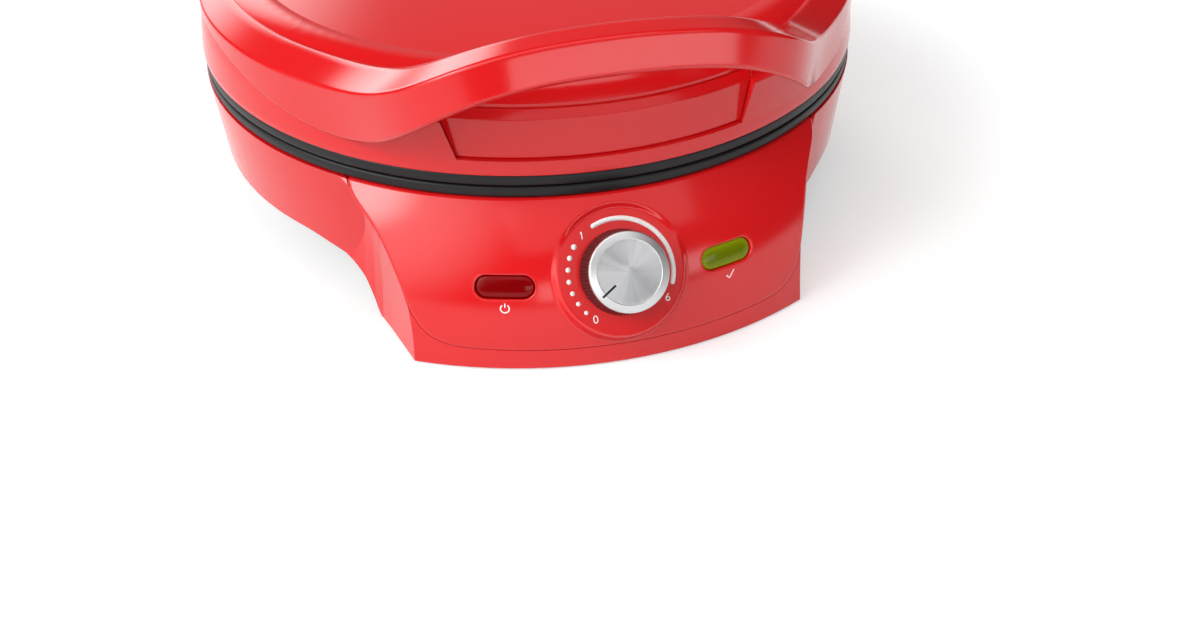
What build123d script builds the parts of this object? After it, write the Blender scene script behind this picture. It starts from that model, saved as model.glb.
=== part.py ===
from build123d import *
from math import atan2, cos, degrees, hypot, radians, sin, sqrt
import os

# An electric pizza maker: a round base on two broad legs, a hinged lid with a looped handle,
# two cast cooking plates that meet rim to rim, and a thermostat dial on the front leg.
# The front is -Y, the floor is z = 0 and the origin lies under the centre of the whole object.

# Cooking plates
PLATE_R = 165.0
PARTING_Z = 77.7
PLATE_GAP = 0.6
LOWER_RIM_H = 6.0
UPPER_RIM_H = 5.4
RIM_ROUND = 1.4
COOK_R = 150.0
COOK_DRAFT = 3.0
LOWER_DEPTH = 15.4
UPPER_DEPTH = 12.0
PLATE_WALL = 3.0
POST_RING_R = 128.0
POST_R = 4.5

# Base walls
BASE_R = 168.6
BASE_DRAFT = 0.089
BASE_WALL = 3.2
BASE_FLANGE_INNER = 154.5
FLANGE_T = 2.5
ARCH_Z = 31.0
SKIRT_Z = 1.0

# Front and rear legs: face profile (radius, height) and side outline (half width, height)
FACE_TOP_R = 168.6
FACE_MID = (189.1, 39.3)
FACE_LOW = (197.4, 9.0)
FACE_FOOT_R = 198.8
LEG_WALL = 2.5
LEG_SIDE = ((97.0, 0.0), (95.9, 14.0), (95.2, 35.0), (95.8, 52.0), (98.2, 61.0), (101.7, 68.0),
            (104.2, 71.5))
LEG_SIDE_Y = 161.0
LEG_FLARE = 0.266
LEG_BLEND = ((230.0, 0.0), (185.0, 0.0), (150.0, 0.0), (140.0, 0.3), (134.0, 2.0), (128.0, 5.3),
             (121.0, 10.1), (114.6, 15.6), (106.0, 22.5), (95.0, 30.0))
LEG_BLEND_TOP = 68.0
REAR_NARROWING = 25.0
SEAM = 0.15
FASCIA_EDGE = ((110.9, 75.0), (110.7, 71.4), (110.2, 68.0), (105.6, 61.0), (100.3, 52.0), (97.0, 42.0),
               (95.0, 35.0), (93.2, 28.0), (90.2, 21.0), (86.0, 15.6), (79.0, 12.0), (68.5, 10.7),
               (42.0, 10.0), (0.0, 9.7))
FASCIA_LIP = 4.0
FASCIA_LIP_T = 1.5
ARCH_CURVE = ((140.0, 0.0), (134.0, 8.0), (128.0, 18.0), (121.0, 23.5), (114.6, 26.6), (107.5, 29.3),
              (97.0, 31.0))

# Bottom tray and feet
TRAY_LIFT = 1.5
TRAY_T = 2.5
TRAY_CLEAR = 0.3
FOOT_Z = 3.0
FOOT_R = 9.0
FOOT_PLACES = ((70.0, -167.0), (-70.0, -167.0), (42.0, 180.0), (-42.0, 180.0))

# Dial on the front leg
DIAL_R = 188.3
DIAL_Z = 42.75
DIAL_TILT = 34.7
BOSS_R = 26.9
BOSS_BASE_R = 29.6
KNOB_R = 19.4
KNOB_L = 17.2
CAP_R = 17.75
CAP_T = 3.2
CAP_CHAMFER = 3.4
CAP_CHAMFER_H = 0.85
KNOB_CLEAR = 0.5
RIB_COUNT = 60
RIB_DEPTH = 0.5
SHAFT_R = 3.0
SHAFT_CLEAR = 0.5
SHAFT_FIT = 0.05
KNOB_START = 55.5

# Indicator windows
LENS_ANGLE = 15.7
LENS_L = 28.0
LENS_W = 11.4
LENS_T = 3.4
LENS_SINK = 0.4
LENS_FIT = 0.1
LAMP_R = 3.0
LAMP_L = 11.0

# Hinge
LUG_R = 11.0
HINGE_Z = 88.0
PIN_R = 3.0
PIN_FIT = 0.05
LUG_X = (38.0, 50.0)
KNUCKLE_X = (25.5, 37.5)
KNUCKLE_R = 10.0

# Lid wall: radius, height and the tilt of its outward normal
LID_RIM_R = 168.3
LID_PROFILE = ((168.4, 86.0, 0.0), (167.6, 92.6, 9.0), (165.2, 103.0, 20.0), (160.0, 112.4, 33.0),
               (155.6, 118.4, 45.0), (150.5, 122.3, 65.0), (138.0, 124.6, 83.0))
LID_TOP_Z = 131.0
LID_CROWN_R = 6.0
LID_WALL = 2.5
LID_FIT = 0.15
ROOT_R = 168.0
ROOT_TOP_Z = 108.0
ROOT_HALF_ANGLE = 38.5
POCKET_LOW = (163.0, 90.4)
POCKET_HIGH = (159.4, 111.5)
POCKET_HALF_W = ((64.6, 90.4), (71.4, 111.5))

# Handle stations from the middle of the bar to the rear of the band. Each one has the inner top
# edge in plan and height, the direction of the section in degrees from the front, the distance
# out to the ridge and its height, the distance out to the lower edge and its height, and the
# inner lower edge in the same way.
HANDLE = (
    (0.0, -175.0, 157.8, 0.0, 12.0, 155.7, 16.0, 139.5, 2.5, 141.0),
    (25.0, -174.9, 157.0, 0.0, 12.0, 155.0, 16.0, 139.2, 2.5, 140.7),
    (45.0, -173.0, 154.2, 4.0, 12.6, 152.6, 16.8, 136.8, 2.5, 138.0),
    (60.0, -169.0, 149.0, 10.0, 14.0, 148.3, 18.6, 131.6, 3.0, 133.5),
    (69.0, -162.5, 143.3, 22.0, 18.4, 142.0, 21.6, 123.8, 4.0, 126.0),
    (75.0, -154.5, 137.6, 34.0, 21.0, 134.9, 22.8, 113.8, 5.0, 117.0),
    (80.0, -146.5, 133.0, 43.0, 20.0, 128.0, 20.4, 105.6, 6.0, 110.0),
    (84.5, -139.0, 129.8, 48.0, 18.6, 122.8, 17.2, 97.8, 4.0, 104.0),
    (93.0, -127.5, 127.0, 48.0, 17.6, 118.8, 15.6, 92.6, 0.0, 104.0),
    (105.0, -110.5, 125.2, 47.0, 17.2, 115.8, 17.0, 90.4, 0.0, 104.0),
    (117.5, -94.5, 124.5, 51.5, 17.4, 114.4, 18.2, 92.0, 0.0, 104.0),
    (128.6, -78.2, 124.2, 58.7, 17.2, 113.7, 18.0, 97.0, 0.0, 104.0),
    (138.0, -59.8, 124.0, 66.6, 16.8, 113.4, 17.2, 102.5, 0.0, 106.0),
    (146.5, -34.5, 123.8, 76.7, 16.4, 113.2, 16.6, 105.5, 0.0, 108.0),
    (150.5, 0.0, 123.6, 90.0, 16.0, 113.0, 16.2, 106.5, 0.0, 109.0),
    (145.4, 39.0, 123.6, 105.0, 16.0, 113.0, 16.2, 106.5, 0.0, 109.0),
    (130.3, 75.2, 123.6, 120.0, 16.0, 113.0, 16.2, 106.5, 0.0, 109.0),
    (106.4, 106.4, 123.6, 135.0, 16.0, 113.0, 16.2, 106.5, 0.0, 109.0),
    (84.2, 124.8, 123.6, 146.0, 16.0, 113.0, 16.2, 106.5, 0.0, 109.0),
)
HANDLE_BEVEL = 2.2
COVER_HALF_ANGLE = 33.5

# Heating elements and what sits round them
HEATER_RING_R = 105.0
HEATER_TUBE_R = 3.3
HEATER_OPEN = 24.0
HEATER_SEAT = 0.1
CLIP_W = 12.0
CLIP_T = 1.2
CLIP_REACH = 9.0
REFLECTOR_R = 139.0
REFLECTOR_T = 0.8
REFLECTOR_DROP = 12.0

# Screws
SCREW_R = 1.7
SCREW_HEAD_R = 3.4
SCREW_HEAD_H = 2.0
SCREW_FIT = 0.1
SCREW_L = 9.0
BOSS_POST_R = 4.2
FRONT_POST_R = 179.3
FRONT_POST_ANGLE = 30.3
FRONT_POST_L = 31.0
REAR_POST_R = 176.2
REAR_POST_ANGLE = 18.9
TAB_ANGLE = 20.0
TAB_HALF_ANGLE = 3.0

# Heights that follow
LOWER_TOP = PARTING_Z - PLATE_GAP / 2
LOWER_SEAT = LOWER_TOP - LOWER_RIM_H
UPPER_BOTTOM = PARTING_Z + PLATE_GAP / 2
UPPER_SEAT = UPPER_BOTTOM + UPPER_RIM_H
COOK_FLOOR = LOWER_TOP - LOWER_DEPTH
PLATE_UNDER = COOK_FLOOR - PLATE_WALL
COOK_ROOF = UPPER_BOTTOM + UPPER_DEPTH
PLATE_OVER = COOK_ROOF + PLATE_WALL
FRONT_REACH = DIAL_R + (KNOB_L - CAP_CHAMFER_H) * cos(radians(DIAL_TILT)) + CAP_R * sin(radians(DIAL_TILT))
HINGE_Y = FRONT_REACH - LUG_R


def turned(outline, start=0.0, arc=360.0):
    """The outline, drawn as radius and height on the XZ plane, turned about the body axis."""
    return Rotation(0, 0, start) * revolve(outline, Axis.Z, arc)


def outline_of(points):
    return make_face(Polyline([(r, 0, z) for r, z in points], close=True))


def sector(outline, middle, half_angle):
    """The outline turned over a sector, its middle in degrees from the front towards +X."""
    return turned(outline, middle - 90 - half_angle, 2 * half_angle)


def around(angle, radius, z=0.0):
    """The point at this angle, in degrees from the front towards +X."""
    return (radius * sin(radians(angle)), -radius * cos(radians(angle)), z)


def arc_centre(a, b, c):
    """Centre of the circle through three points, from its two perpendicular bisectors."""
    ax, ay, bx, by, cx, cy = *a, *b, *c
    d = 2 * (ax * (by - cy) + bx * (cy - ay) + cx * (ay - by))
    a2, b2, c2 = ax * ax + ay * ay, bx * bx + by * by, cx * cx + cy * cy
    x = (a2 * (by - cy) + b2 * (cy - ay) + c2 * (ay - by)) / d
    y = (a2 * (cx - bx) + b2 * (ax - cx) + c2 * (bx - ax)) / d
    return x, y


FACE_TOP = (FACE_TOP_R, LOWER_SEAT)
FACE_CENTRE = arc_centre(FACE_TOP, FACE_MID, FACE_LOW)
FACE_ARC_R = hypot(FACE_MID[0] - FACE_CENTRE[0], FACE_MID[1] - FACE_CENTRE[1])


def face_point(point, inset):
    """A point of the leg's face, moved in from the skin along the arc's own radius."""
    share = 1 - inset / FACE_ARC_R
    return (FACE_CENTRE[0] + (point[0] - FACE_CENTRE[0]) * share, 0,
            FACE_CENTRE[1] + (point[1] - FACE_CENTRE[1]) * share)


def face_tilt(z):
    """Tilt of the leg face's outward normal above the horizontal at this height, in degrees."""
    rise = z - FACE_CENTRE[1]
    return degrees(atan2(rise, sqrt(FACE_ARC_R ** 2 - rise ** 2)))


def leg_solid(inset=0.0, top=LOWER_SEAT, narrowing=0.0, side_inset=None, blended=True):
    """A leg as a full block: a turned face between two side faces, which may sweep into the wall."""
    side_inset = inset if side_inset is None else side_inset
    foot = FACE_FOOT_R - inset
    inner = HEATER_RING_R - HEATER_TUBE_R
    high, middle, low = (face_point(p, inset) for p in (FACE_TOP, FACE_MID, FACE_LOW))
    cap = LOWER_SEAT + LEG_WALL
    turned_face = turned(make_face(Wire([
        ThreePointArc(high, middle, low), Line(low, (foot, 0, 0)), Line((foot, 0, 0), (inner, 0, 0)),
        Line((inner, 0, 0), (inner, 0, cap)), Line((inner, 0, cap), (high[0], 0, cap)),
        Line((high[0], 0, cap), high)])), 180, 180)
    sides = []
    for y, blend in LEG_BLEND if blended else LEG_BLEND[::len(LEG_BLEND) - 1]:
        spread = LEG_FLARE * (LEG_SIDE_Y - y) - side_inset - narrowing
        sweep_in = blend if blended else 0.0
        right = [(half + spread + sweep_in * max(0.0, 1 - z / LEG_BLEND_TOP), -y, z) for half, z in LEG_SIDE]
        left = [(-x, y, z) for x, y, z in right]
        sides.append(make_face(Wire([
            Line(left[0], right[0]), Spline(right), Line(right[-1], left[-1]), Spline(left[::-1])])))
    block = loft(sides, ruled=True)
    return turned_face & block & Pos(0, 0, top / 2) * Box(3 * BASE_R, 3 * BASE_R, top)


def fascia_window(grow):
    """A block through the front leg whose front view is the edge of the fascia, grown all round."""
    edge = []
    for i, (x, z) in enumerate(FASCIA_EDGE):
        before = FASCIA_EDGE[max(i - 1, 0)]
        after = FASCIA_EDGE[i + 1] if i + 1 < len(FASCIA_EDGE) else (-before[0], before[1])
        run, rise = after[0] - before[0], after[1] - before[1]
        length = hypot(run, rise)
        edge.append((x - grow * rise / length, -HEATER_RING_R, z + grow * run / length))
    mirrored = [(-x, y, z) for x, y, z in edge[-2::-1]]
    outline = Wire([Spline(edge + mirrored), Line(mirrored[-1], edge[0])])
    return extrude(make_face(outline), BASE_R, dir=(0, -1, 0))


def arch_side(shift, floor_z, top):
    """The space over the arch curve seen from the side, moved up and outwards by the shift."""
    reach = FRONT_REACH + 10
    front = [(0, -y - shift, z + shift) for y, z in ARCH_CURVE]
    back = [(0, -y, z) for _, y, z in front][::-1]
    front_foot = (0, front[0][1], -shift - 1)
    back_foot = (0, -front[0][1], -shift - 1)
    outline = Wire([
        Line((0, -reach, top), (0, -reach, front_foot[2])), Line((0, -reach, front_foot[2]), front_foot),
        Line(front_foot, front[0]), Spline(front), Line(front[-1], back[0]), Spline(back),
        Line(back[-1], back_foot), Line(back_foot, (0, reach, back_foot[2])),
        Line((0, reach, back_foot[2]), (0, reach, top)), Line((0, reach, top), (0, -reach, top))])
    block = extrude(make_face(outline), BASE_R + 10, dir=(1, 0, 0), both=True)
    return block & Pos(0, 0, floor_z) * Box(
        3 * BASE_R, 3 * BASE_R, top, align=(Align.CENTER, Align.CENTER, Align.MIN))


def screw(length=SCREW_L):
    """A pan-head screw along -Z, with the underside of its head at the origin."""
    head = extrude(Circle(SCREW_HEAD_R), SCREW_HEAD_H)
    head = fillet(head.edges().group_by(Axis.Z)[-1], SCREW_HEAD_H * 0.4)
    slot = Box(SCREW_HEAD_R * 1.2, SCREW_R * 0.45, SCREW_HEAD_H * 0.5)
    cross = slot + Rotation(0, 0, 90) * slot
    return head + Cylinder(SCREW_R, length, align=(Align.CENTER, Align.CENTER, Align.MAX)) - Pos(
        0, 0, SCREW_HEAD_H) * cross


def bore(length=SCREW_L, radius=SCREW_R + SCREW_FIT):
    """The hole of a screw: its shank with clearance, from just above the head's seat."""
    return Pos(0, 0, -length - SCREW_FIT * 4) * Cylinder(
        radius, length + SCREW_FIT * 5, align=(Align.CENTER, Align.CENTER, Align.MIN))


def plane_at(point, outward, tilt):
    """A plane whose Z leaves the point at this angle from the front, tilted up by tilt degrees."""
    a, t = radians(outward), radians(tilt)
    normal = (sin(a) * cos(t), -cos(a) * cos(t), sin(t))
    return Plane(origin=point, x_dir=(cos(a), sin(a), 0), z_dir=normal)


def at(point, turned_down=False):
    """A level plane at the point, facing up, or down for a screw that is driven from below."""
    return Plane(origin=point, x_dir=(1, 0, 0), z_dir=(0, 0, -1 if turned_down else 1))


parts = {}

# Lower cooking plate: a cast dish whose rim lies on the base flange
plate = turned(outline_of([
    (0, PLATE_UNDER), (COOK_R - COOK_DRAFT + PLATE_WALL * 0.6, PLATE_UNDER),
    (COOK_R + PLATE_WALL, LOWER_SEAT), (PLATE_R, LOWER_SEAT), (PLATE_R, LOWER_TOP), (COOK_R, LOWER_TOP),
    (COOK_R - COOK_DRAFT, COOK_FLOOR), (0, COOK_FLOOR)]))


def on_rim(edge):
    point = edge.position_at(0.25)
    return abs(hypot(point.X, point.Y) - PLATE_R) < 0.01


def round_rim(body):
    return fillet(body.edges().filter_by(on_rim).filter_by(GeomType.CIRCLE), RIM_ROUND)


POST_ANGLES = (45.0, 135.0, 225.0, 315.0)
REFLECTOR_LOW_TOP = PLATE_UNDER - REFLECTOR_DROP
plate = round_rim(plate)
for angle in POST_ANGLES:
    post = Pos(*around(angle, POST_RING_R, REFLECTOR_LOW_TOP)) * Cylinder(
        POST_R, REFLECTOR_DROP + 1, align=(Align.CENTER, Align.CENTER, Align.MIN))
    plate += post
RIM_SCREW_R = (BASE_FLANGE_INNER + PLATE_R) / 2
RIM_SCREW_L = FLANGE_T + LOWER_RIM_H * 0.55
TAB_SCREW_L = RIM_SCREW_L + LEG_WALL
tab_z = LOWER_SEAT - FLANGE_T - LEG_WALL
rim_low = [at(around(a, RIM_SCREW_R, LOWER_SEAT - FLANGE_T), True) for a in (80.0, -80.0)]
rim_tabs = [at(around(a, RIM_SCREW_R, tab_z), True)
            for a in (TAB_ANGLE, -TAB_ANGLE, 180 - TAB_ANGLE, 180 + TAB_ANGLE)]
post_low = [at(around(a, POST_RING_R, REFLECTOR_LOW_TOP - REFLECTOR_T), True) for a in POST_ANGLES]
for place in rim_low:
    plate -= place * bore(RIM_SCREW_L)
for place in rim_tabs:
    plate -= place * bore(TAB_SCREW_L)
for place in post_low:
    plate -= place * bore()
parts["lower_plate"] = plate
parts["lower_plate_screws"] = [place * screw(RIM_SCREW_L) for place in rim_low]
parts["lower_plate_screws"] += [place * screw(TAB_SCREW_L) for place in rim_tabs]
parts["lower_reflector_screws"] = [place * screw() for place in post_low]

reflector = turned(outline_of([
    (0, REFLECTOR_LOW_TOP - REFLECTOR_T), (REFLECTOR_R, REFLECTOR_LOW_TOP - REFLECTOR_T),
    (REFLECTOR_R + 3, REFLECTOR_LOW_TOP + 3), (REFLECTOR_R + 3 - REFLECTOR_T, REFLECTOR_LOW_TOP + 3),
    (REFLECTOR_R - REFLECTOR_T, REFLECTOR_LOW_TOP), (0, REFLECTOR_LOW_TOP)]))
for place in post_low:
    reflector -= place * bore()
parts["lower_reflector"] = reflector

# Lower heating element: a sheathed ring pressed up against the plate, open towards the rear
LOWER_TUBE_Z = PLATE_UNDER - HEATER_SEAT - HEATER_TUBE_R
TAB_L = 8.0
TAB_W = 4.0
TAB_T = 0.8


def heater(tube_z, tab_direction):
    ring = Plane.XZ * Pos(HEATER_RING_R, tube_z) * Circle(HEATER_TUBE_R)
    ring = turned(ring, 90 + HEATER_OPEN / 2, 360 - HEATER_OPEN)
    for side in (-1, 1):
        x, y, _ = around(180 + side * (HEATER_OPEN / 2 - 0.5), HEATER_RING_R)
        tab = Box(TAB_T, TAB_W, TAB_L, align=(Align.CENTER, Align.CENTER, Align.MIN))
        tab = Pos(0, 0, -HEATER_TUBE_R / 2) * tab
        if tab_direction < 0:
            tab = Rotation(180, 0, 0) * tab
        ring += Pos(x, y, tube_z) * Rotation(0, 0, 90) * tab
    return ring


def heater_clips(tube_z, plate_z, direction):
    """Three sheet saddles that hold the ring to the plate, their feet on the plate."""
    clips = []
    height = 2 * HEATER_TUBE_R + 2 * HEATER_SEAT + CLIP_T
    middle = plate_z + direction * height / 2
    for angle in (0.0, 120.0, 240.0):
        strap = Box(2 * CLIP_REACH, CLIP_W, height)
        hollow = Box(2 * (HEATER_TUBE_R + HEATER_SEAT * 2), CLIP_W + 2, height - CLIP_T)
        pocket = Pos(0, 0, -direction * CLIP_T / 2) * hollow
        x, y, _ = around(angle, HEATER_RING_R)
        clips.append(Pos(x, y, middle) * Rotation(0, 0, angle - 90) * (strap - pocket))
    return clips


parts["lower_heater"] = heater(LOWER_TUBE_Z, -1)
parts["lower_heater_clips"] = heater_clips(LOWER_TUBE_Z, PLATE_UNDER, -1)

# Base shell: the round side wall and the flange that carries the lower plate
wall_foot_r = BASE_R - BASE_DRAFT * LOWER_SEAT
half_turn = Rotation(0, 0, 180)
side_wall = turned(outline_of([
    (BASE_R, LOWER_SEAT), (wall_foot_r, 0), (wall_foot_r - BASE_WALL, 0), (BASE_R - BASE_WALL, LOWER_SEAT)]))
front_hollow = leg_solid(LEG_WALL, LOWER_SEAT + 1)
rear_cut = half_turn * leg_solid(-3.0, LOWER_SEAT + 1, REAR_NARROWING, 0.0, False)
flange_outer = FACE_TOP_R - LEG_WALL - TRAY_CLEAR
flange = turned(outline_of([
    (BASE_FLANGE_INNER, LOWER_SEAT - FLANGE_T), (flange_outer, LOWER_SEAT - FLANGE_T),
    (flange_outer, LOWER_SEAT), (BASE_FLANGE_INNER, LOWER_SEAT)]))
over_arch = arch_side(0.0, SKIRT_Z, LOWER_SEAT + 20)
under_flange = LOWER_SEAT - FLANGE_T - SEAM
inside_ring = turned(outline_of([
    (0, 0), (flange_outer - 4, 0), (flange_outer - 4, under_flange), (flange_outer + SEAM, under_flange),
    (flange_outer + SEAM, 90), (0, 90)]))
leg_skin = leg_solid() - front_hollow
leg_ledge = front_hollow - leg_solid(LEG_WALL + FASCIA_LIP_T, LOWER_SEAT + 1)
leg_ledge = (leg_ledge & fascia_window(LEG_WALL)) - fascia_window(-FASCIA_LIP)
leg_ledge &= Box(3 * BASE_R, 3 * BASE_R, 2 * (under_flange - 2 * LEG_WALL))
base = side_wall - front_hollow - rear_cut + (leg_skin - inside_ring) - fascia_window(0.0)
base = (base + leg_ledge) & over_arch
base += flange
leg_floor = FOOT_Z + TRAY_T
for side in (-1, 1):
    base += Pos(*around(side * FRONT_POST_ANGLE, FRONT_POST_R, leg_floor)) * Cylinder(
        BOSS_POST_R, FRONT_POST_L, align=(Align.CENTER, Align.CENTER, Align.MIN))
SIDE_SCREW_ANGLES = (62.0, 118.0, 242.0, 298.0)
SIDE_POST_R = BASE_R - BASE_DRAFT * (LOWER_SEAT - ARCH_Z) - BASE_WALL - BOSS_POST_R + 0.8
tray_top = ARCH_Z + TRAY_LIFT + TRAY_T
for angle in SIDE_SCREW_ANGLES:
    base += Pos(*around(angle, SIDE_POST_R, tray_top)) * Cylinder(
        BOSS_POST_R, LOWER_SEAT - FLANGE_T - tray_top + 1, align=(Align.CENTER, Align.CENTER, Align.MIN))
side_screws = [at(around(a, SIDE_POST_R, ARCH_Z + TRAY_LIFT), True) for a in SIDE_SCREW_ANGLES]
leg_screws = [at(around(side * FRONT_POST_ANGLE, FRONT_POST_R, FOOT_Z), True) for side in (-1, 1)]
rear_screws = [at(around(180 + side * REAR_POST_ANGLE, REAR_POST_R, FOOT_Z), True) for side in (-1, 1)]
for place in rim_low:
    base -= place * bore(RIM_SCREW_L)
for place in rim_tabs:
    base -= place * bore(TAB_SCREW_L)
for place in side_screws + leg_screws:
    base -= place * bore()
parts["base_shell"] = base

# Front panel: the face of the front leg, let into the base shell against a ledge
panel = leg_solid(0.0, LOWER_SEAT, 0.0, -LEG_WALL)
panel -= leg_solid(LEG_WALL, LOWER_SEAT + 1, 0.0, -2 * LEG_WALL)
panel = (panel - inside_ring) & fascia_window(-SEAM)
dial_centre = (0, -DIAL_R, DIAL_Z)
dial = plane_at(dial_centre, 0.0, DIAL_TILT)
BOSS_BACK = 8.0
boss = dial * Pos(0, 0, -BOSS_BACK) * Cone(
    BOSS_BASE_R + (BOSS_BASE_R - BOSS_R) * 1.5, BOSS_R, BOSS_BACK,
    align=(Align.CENTER, Align.CENTER, Align.MIN))
panel += boss - front_hollow
panel -= dial * Cylinder(BOSS_R, 2 * BOSS_BACK, align=(Align.CENTER, Align.CENTER, Align.MIN))
BRACKET_DEPTH = 8.5
BRACKET_T = 1.2
BRACKET_L = 52.0
BRACKET_W = 22.0
BRACKET_HOLE_X = 21.0
for side in (-1, 1):
    stand = dial * Pos(side * BRACKET_HOLE_X, 0, -BRACKET_DEPTH) * Cylinder(
        BOSS_POST_R, BRACKET_DEPTH - 1, align=(Align.CENTER, Align.CENTER, Align.MIN))
    panel += stand


def flange_tabs(angle, block):
    """Two tabs of a leg moulding under the base flange, held by the lower plate's screws."""
    tabs = []
    for side in (-1, 1):
        tab = sector(outline_of([
            (BASE_FLANGE_INNER, tab_z), (REAR_POST_R, tab_z), (REAR_POST_R, tab_z + LEG_WALL),
            (BASE_FLANGE_INNER, tab_z + LEG_WALL)]), angle + side * TAB_ANGLE, TAB_HALF_ANGLE)
        tabs.append(tab & block)
    return tabs


panel += flange_tabs(0.0, leg_solid(LEG_WALL / 2))
panel -= dial * Cylinder(SHAFT_R + SHAFT_CLEAR, 60)
bracket_face = plane_at(dial_centre, 0.0, DIAL_TILT) * Pos(0, 0, -BRACKET_DEPTH - BRACKET_T)
flipped = Rotation(180, 0, 0)
bracket_screws = [bracket_face * Pos(side * BRACKET_HOLE_X, 0, 0) * flipped for side in (-1, 1)]
BRACKET_SCREW_L = 6.0
for place in bracket_screws:
    panel -= place * bore(BRACKET_SCREW_L)

# Indicator windows: each lens is a stadium let into the leg's face, with a lamp behind it
lens_z = FACE_MID[1]
lens_planes = {
    "power": plane_at(around(-LENS_ANGLE, FACE_MID[0], lens_z), -LENS_ANGLE, face_tilt(lens_z)),
    "ready": plane_at(around(LENS_ANGLE, FACE_MID[0], lens_z), LENS_ANGLE, face_tilt(lens_z)),
}


def stadium(length, width, grow=0.0):
    return SlotOverall(length + 2 * grow, width + 2 * grow)


holders = []
HOLDER_T = 1.6
HOLDER_DEPTH = LAMP_L + 2.0
for name, place in lens_planes.items():
    panel -= place * Pos(0, 0, -12) * extrude(stadium(LENS_L, LENS_W, LENS_FIT), 20)
    lens = place * Pos(0, 0, -LENS_SINK - LENS_T) * extrude(stadium(LENS_L, LENS_W), LENS_T)
    flange_z = -LENS_SINK - LENS_T
    parts[name + "_lens"] = lens
    outer = extrude(stadium(LENS_L, LENS_W), HOLDER_DEPTH)
    inner = extrude(stadium(LENS_L - 2 * HOLDER_T, LENS_W - 2 * HOLDER_T), HOLDER_DEPTH - HOLDER_T)
    cup = place * Pos(0, 0, flange_z - HOLDER_DEPTH) * (outer - Pos(0, 0, HOLDER_T) * inner)
    holders.append(cup)
    lamp_z = flange_z - HOLDER_DEPTH + HOLDER_T
    bulb = Pos(0, 0, lamp_z) * Cylinder(
        LAMP_R, LAMP_L - LAMP_R, align=(Align.CENTER, Align.CENTER, Align.MIN))
    bulb += Pos(0, 0, lamp_z + LAMP_L - LAMP_R) * Sphere(LAMP_R)
    parts[name + "_lamp"] = place * bulb
parts["lamp_holders"] = holders

# Thermostat behind the dial, on its bracket
BODY_R = 15.0
BODY_L = 13.0
bracket = bracket_face * extrude(RectangleRounded(BRACKET_L, BRACKET_W, 3.0), BRACKET_T)
bracket -= dial * Cylinder(SHAFT_R + SHAFT_CLEAR, 60)
for place in bracket_screws:
    bracket -= place * bore(BRACKET_SCREW_L)
parts["thermostat_bracket"] = bracket
parts["thermostat_bracket_screws"] = [place * screw(BRACKET_SCREW_L) for place in bracket_screws]
body = Cylinder(BODY_R, BODY_L, align=(Align.CENTER, Align.CENTER, Align.MAX))
body += Pos(0, 0, -BODY_L) * Cylinder(BODY_R * 0.55, 4.0, align=(Align.CENTER, Align.CENTER, Align.MAX))
for side in (-1, 1):
    body += Pos(side * BODY_R * 0.6, 0, -BODY_L) * Box(
        TAB_T, TAB_W * 1.5, TAB_L, align=(Align.CENTER, Align.CENTER, Align.MAX))
shaft_seat = 8.0
head_reach = SCREW_HEAD_H + SCREW_FIT
for side in (-1, 1):
    body -= Pos(side * BRACKET_HOLE_X, 0, 0) * Cylinder(
        SCREW_HEAD_R + 3 * SCREW_FIT, 2 * head_reach)
body -= Cylinder(SHAFT_R + SHAFT_FIT, 2 * shaft_seat)
parts["thermostat_body"] = bracket_face * body
shaft_top = KNOB_L - CAP_T - 1.0
shaft_l = BRACKET_DEPTH + BRACKET_T + shaft_seat - 0.5 + shaft_top
shaft = Pos(0, 0, shaft_top) * Cylinder(SHAFT_R, shaft_l, align=(Align.CENTER, Align.CENTER, Align.MAX))
FLAT_DEPTH = 1.0
FLAT_L = 8.0
shaft -= Pos(0, SHAFT_R - FLAT_DEPTH + SHAFT_R, shaft_top) * Box(
    4 * SHAFT_R, 2 * SHAFT_R, FLAT_L, align=(Align.CENTER, Align.CENTER, Align.MAX))
turn_to_zero = Rotation(0, 0, KNOB_START)
parts["thermostat_shaft"] = dial * turn_to_zero * shaft

# Knob: a ribbed skirt that slides on the shaft, and a metal cap with a pointer line
skirt = Pos(0, 0, KNOB_CLEAR) * Cone(KNOB_R, CAP_R - 0.3, KNOB_L - CAP_T - KNOB_CLEAR,
                                      align=(Align.CENTER, Align.CENTER, Align.MIN))
groove = Box(RIB_DEPTH * 2, RIB_DEPTH * 1.2, KNOB_L * 1.4)
lean = degrees(atan2(KNOB_R - CAP_R + 0.3, KNOB_L - CAP_T - KNOB_CLEAR))
grooves = []
mid_r = (KNOB_R + CAP_R - 0.3) / 2
for i in range(RIB_COUNT):
    grooves.append(Rotation(0, 0, 360 * i / RIB_COUNT) * Pos(mid_r, 0, (KNOB_L - CAP_T + KNOB_CLEAR) / 2)
                   * Rotation(0, -lean, 0) * groove)
skirt -= grooves
socket = Cylinder(SHAFT_R + SHAFT_FIT, 4 * KNOB_L)
key = Pos(0, SHAFT_R - FLAT_DEPTH + SHAFT_FIT + SHAFT_R, shaft_top) * Box(
    4 * SHAFT_R, 2 * SHAFT_R, FLAT_L - 1, align=(Align.CENTER, Align.CENTER, Align.MAX))
skirt -= socket - key
parts["knob_skirt"] = dial * turn_to_zero * skirt
cap = Pos(0, 0, KNOB_L - CAP_T) * Cylinder(CAP_R, CAP_T, align=(Align.CENTER, Align.CENTER, Align.MIN))
cap = chamfer(cap.edges().group_by(Axis.Z)[-1], CAP_CHAMFER_H, CAP_CHAMFER)
POINTER_W = 0.8
POINTER_L = 6.2
POINTER_T = 0.5
pointer_face = KNOB_L
pointer = Pos(0, -(CAP_R - CAP_CHAMFER - POINTER_L / 2 - 0.2), pointer_face - POINTER_T) * Box(
    POINTER_W, POINTER_L, POINTER_T, align=(Align.CENTER, Align.CENTER, Align.MIN))
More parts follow.
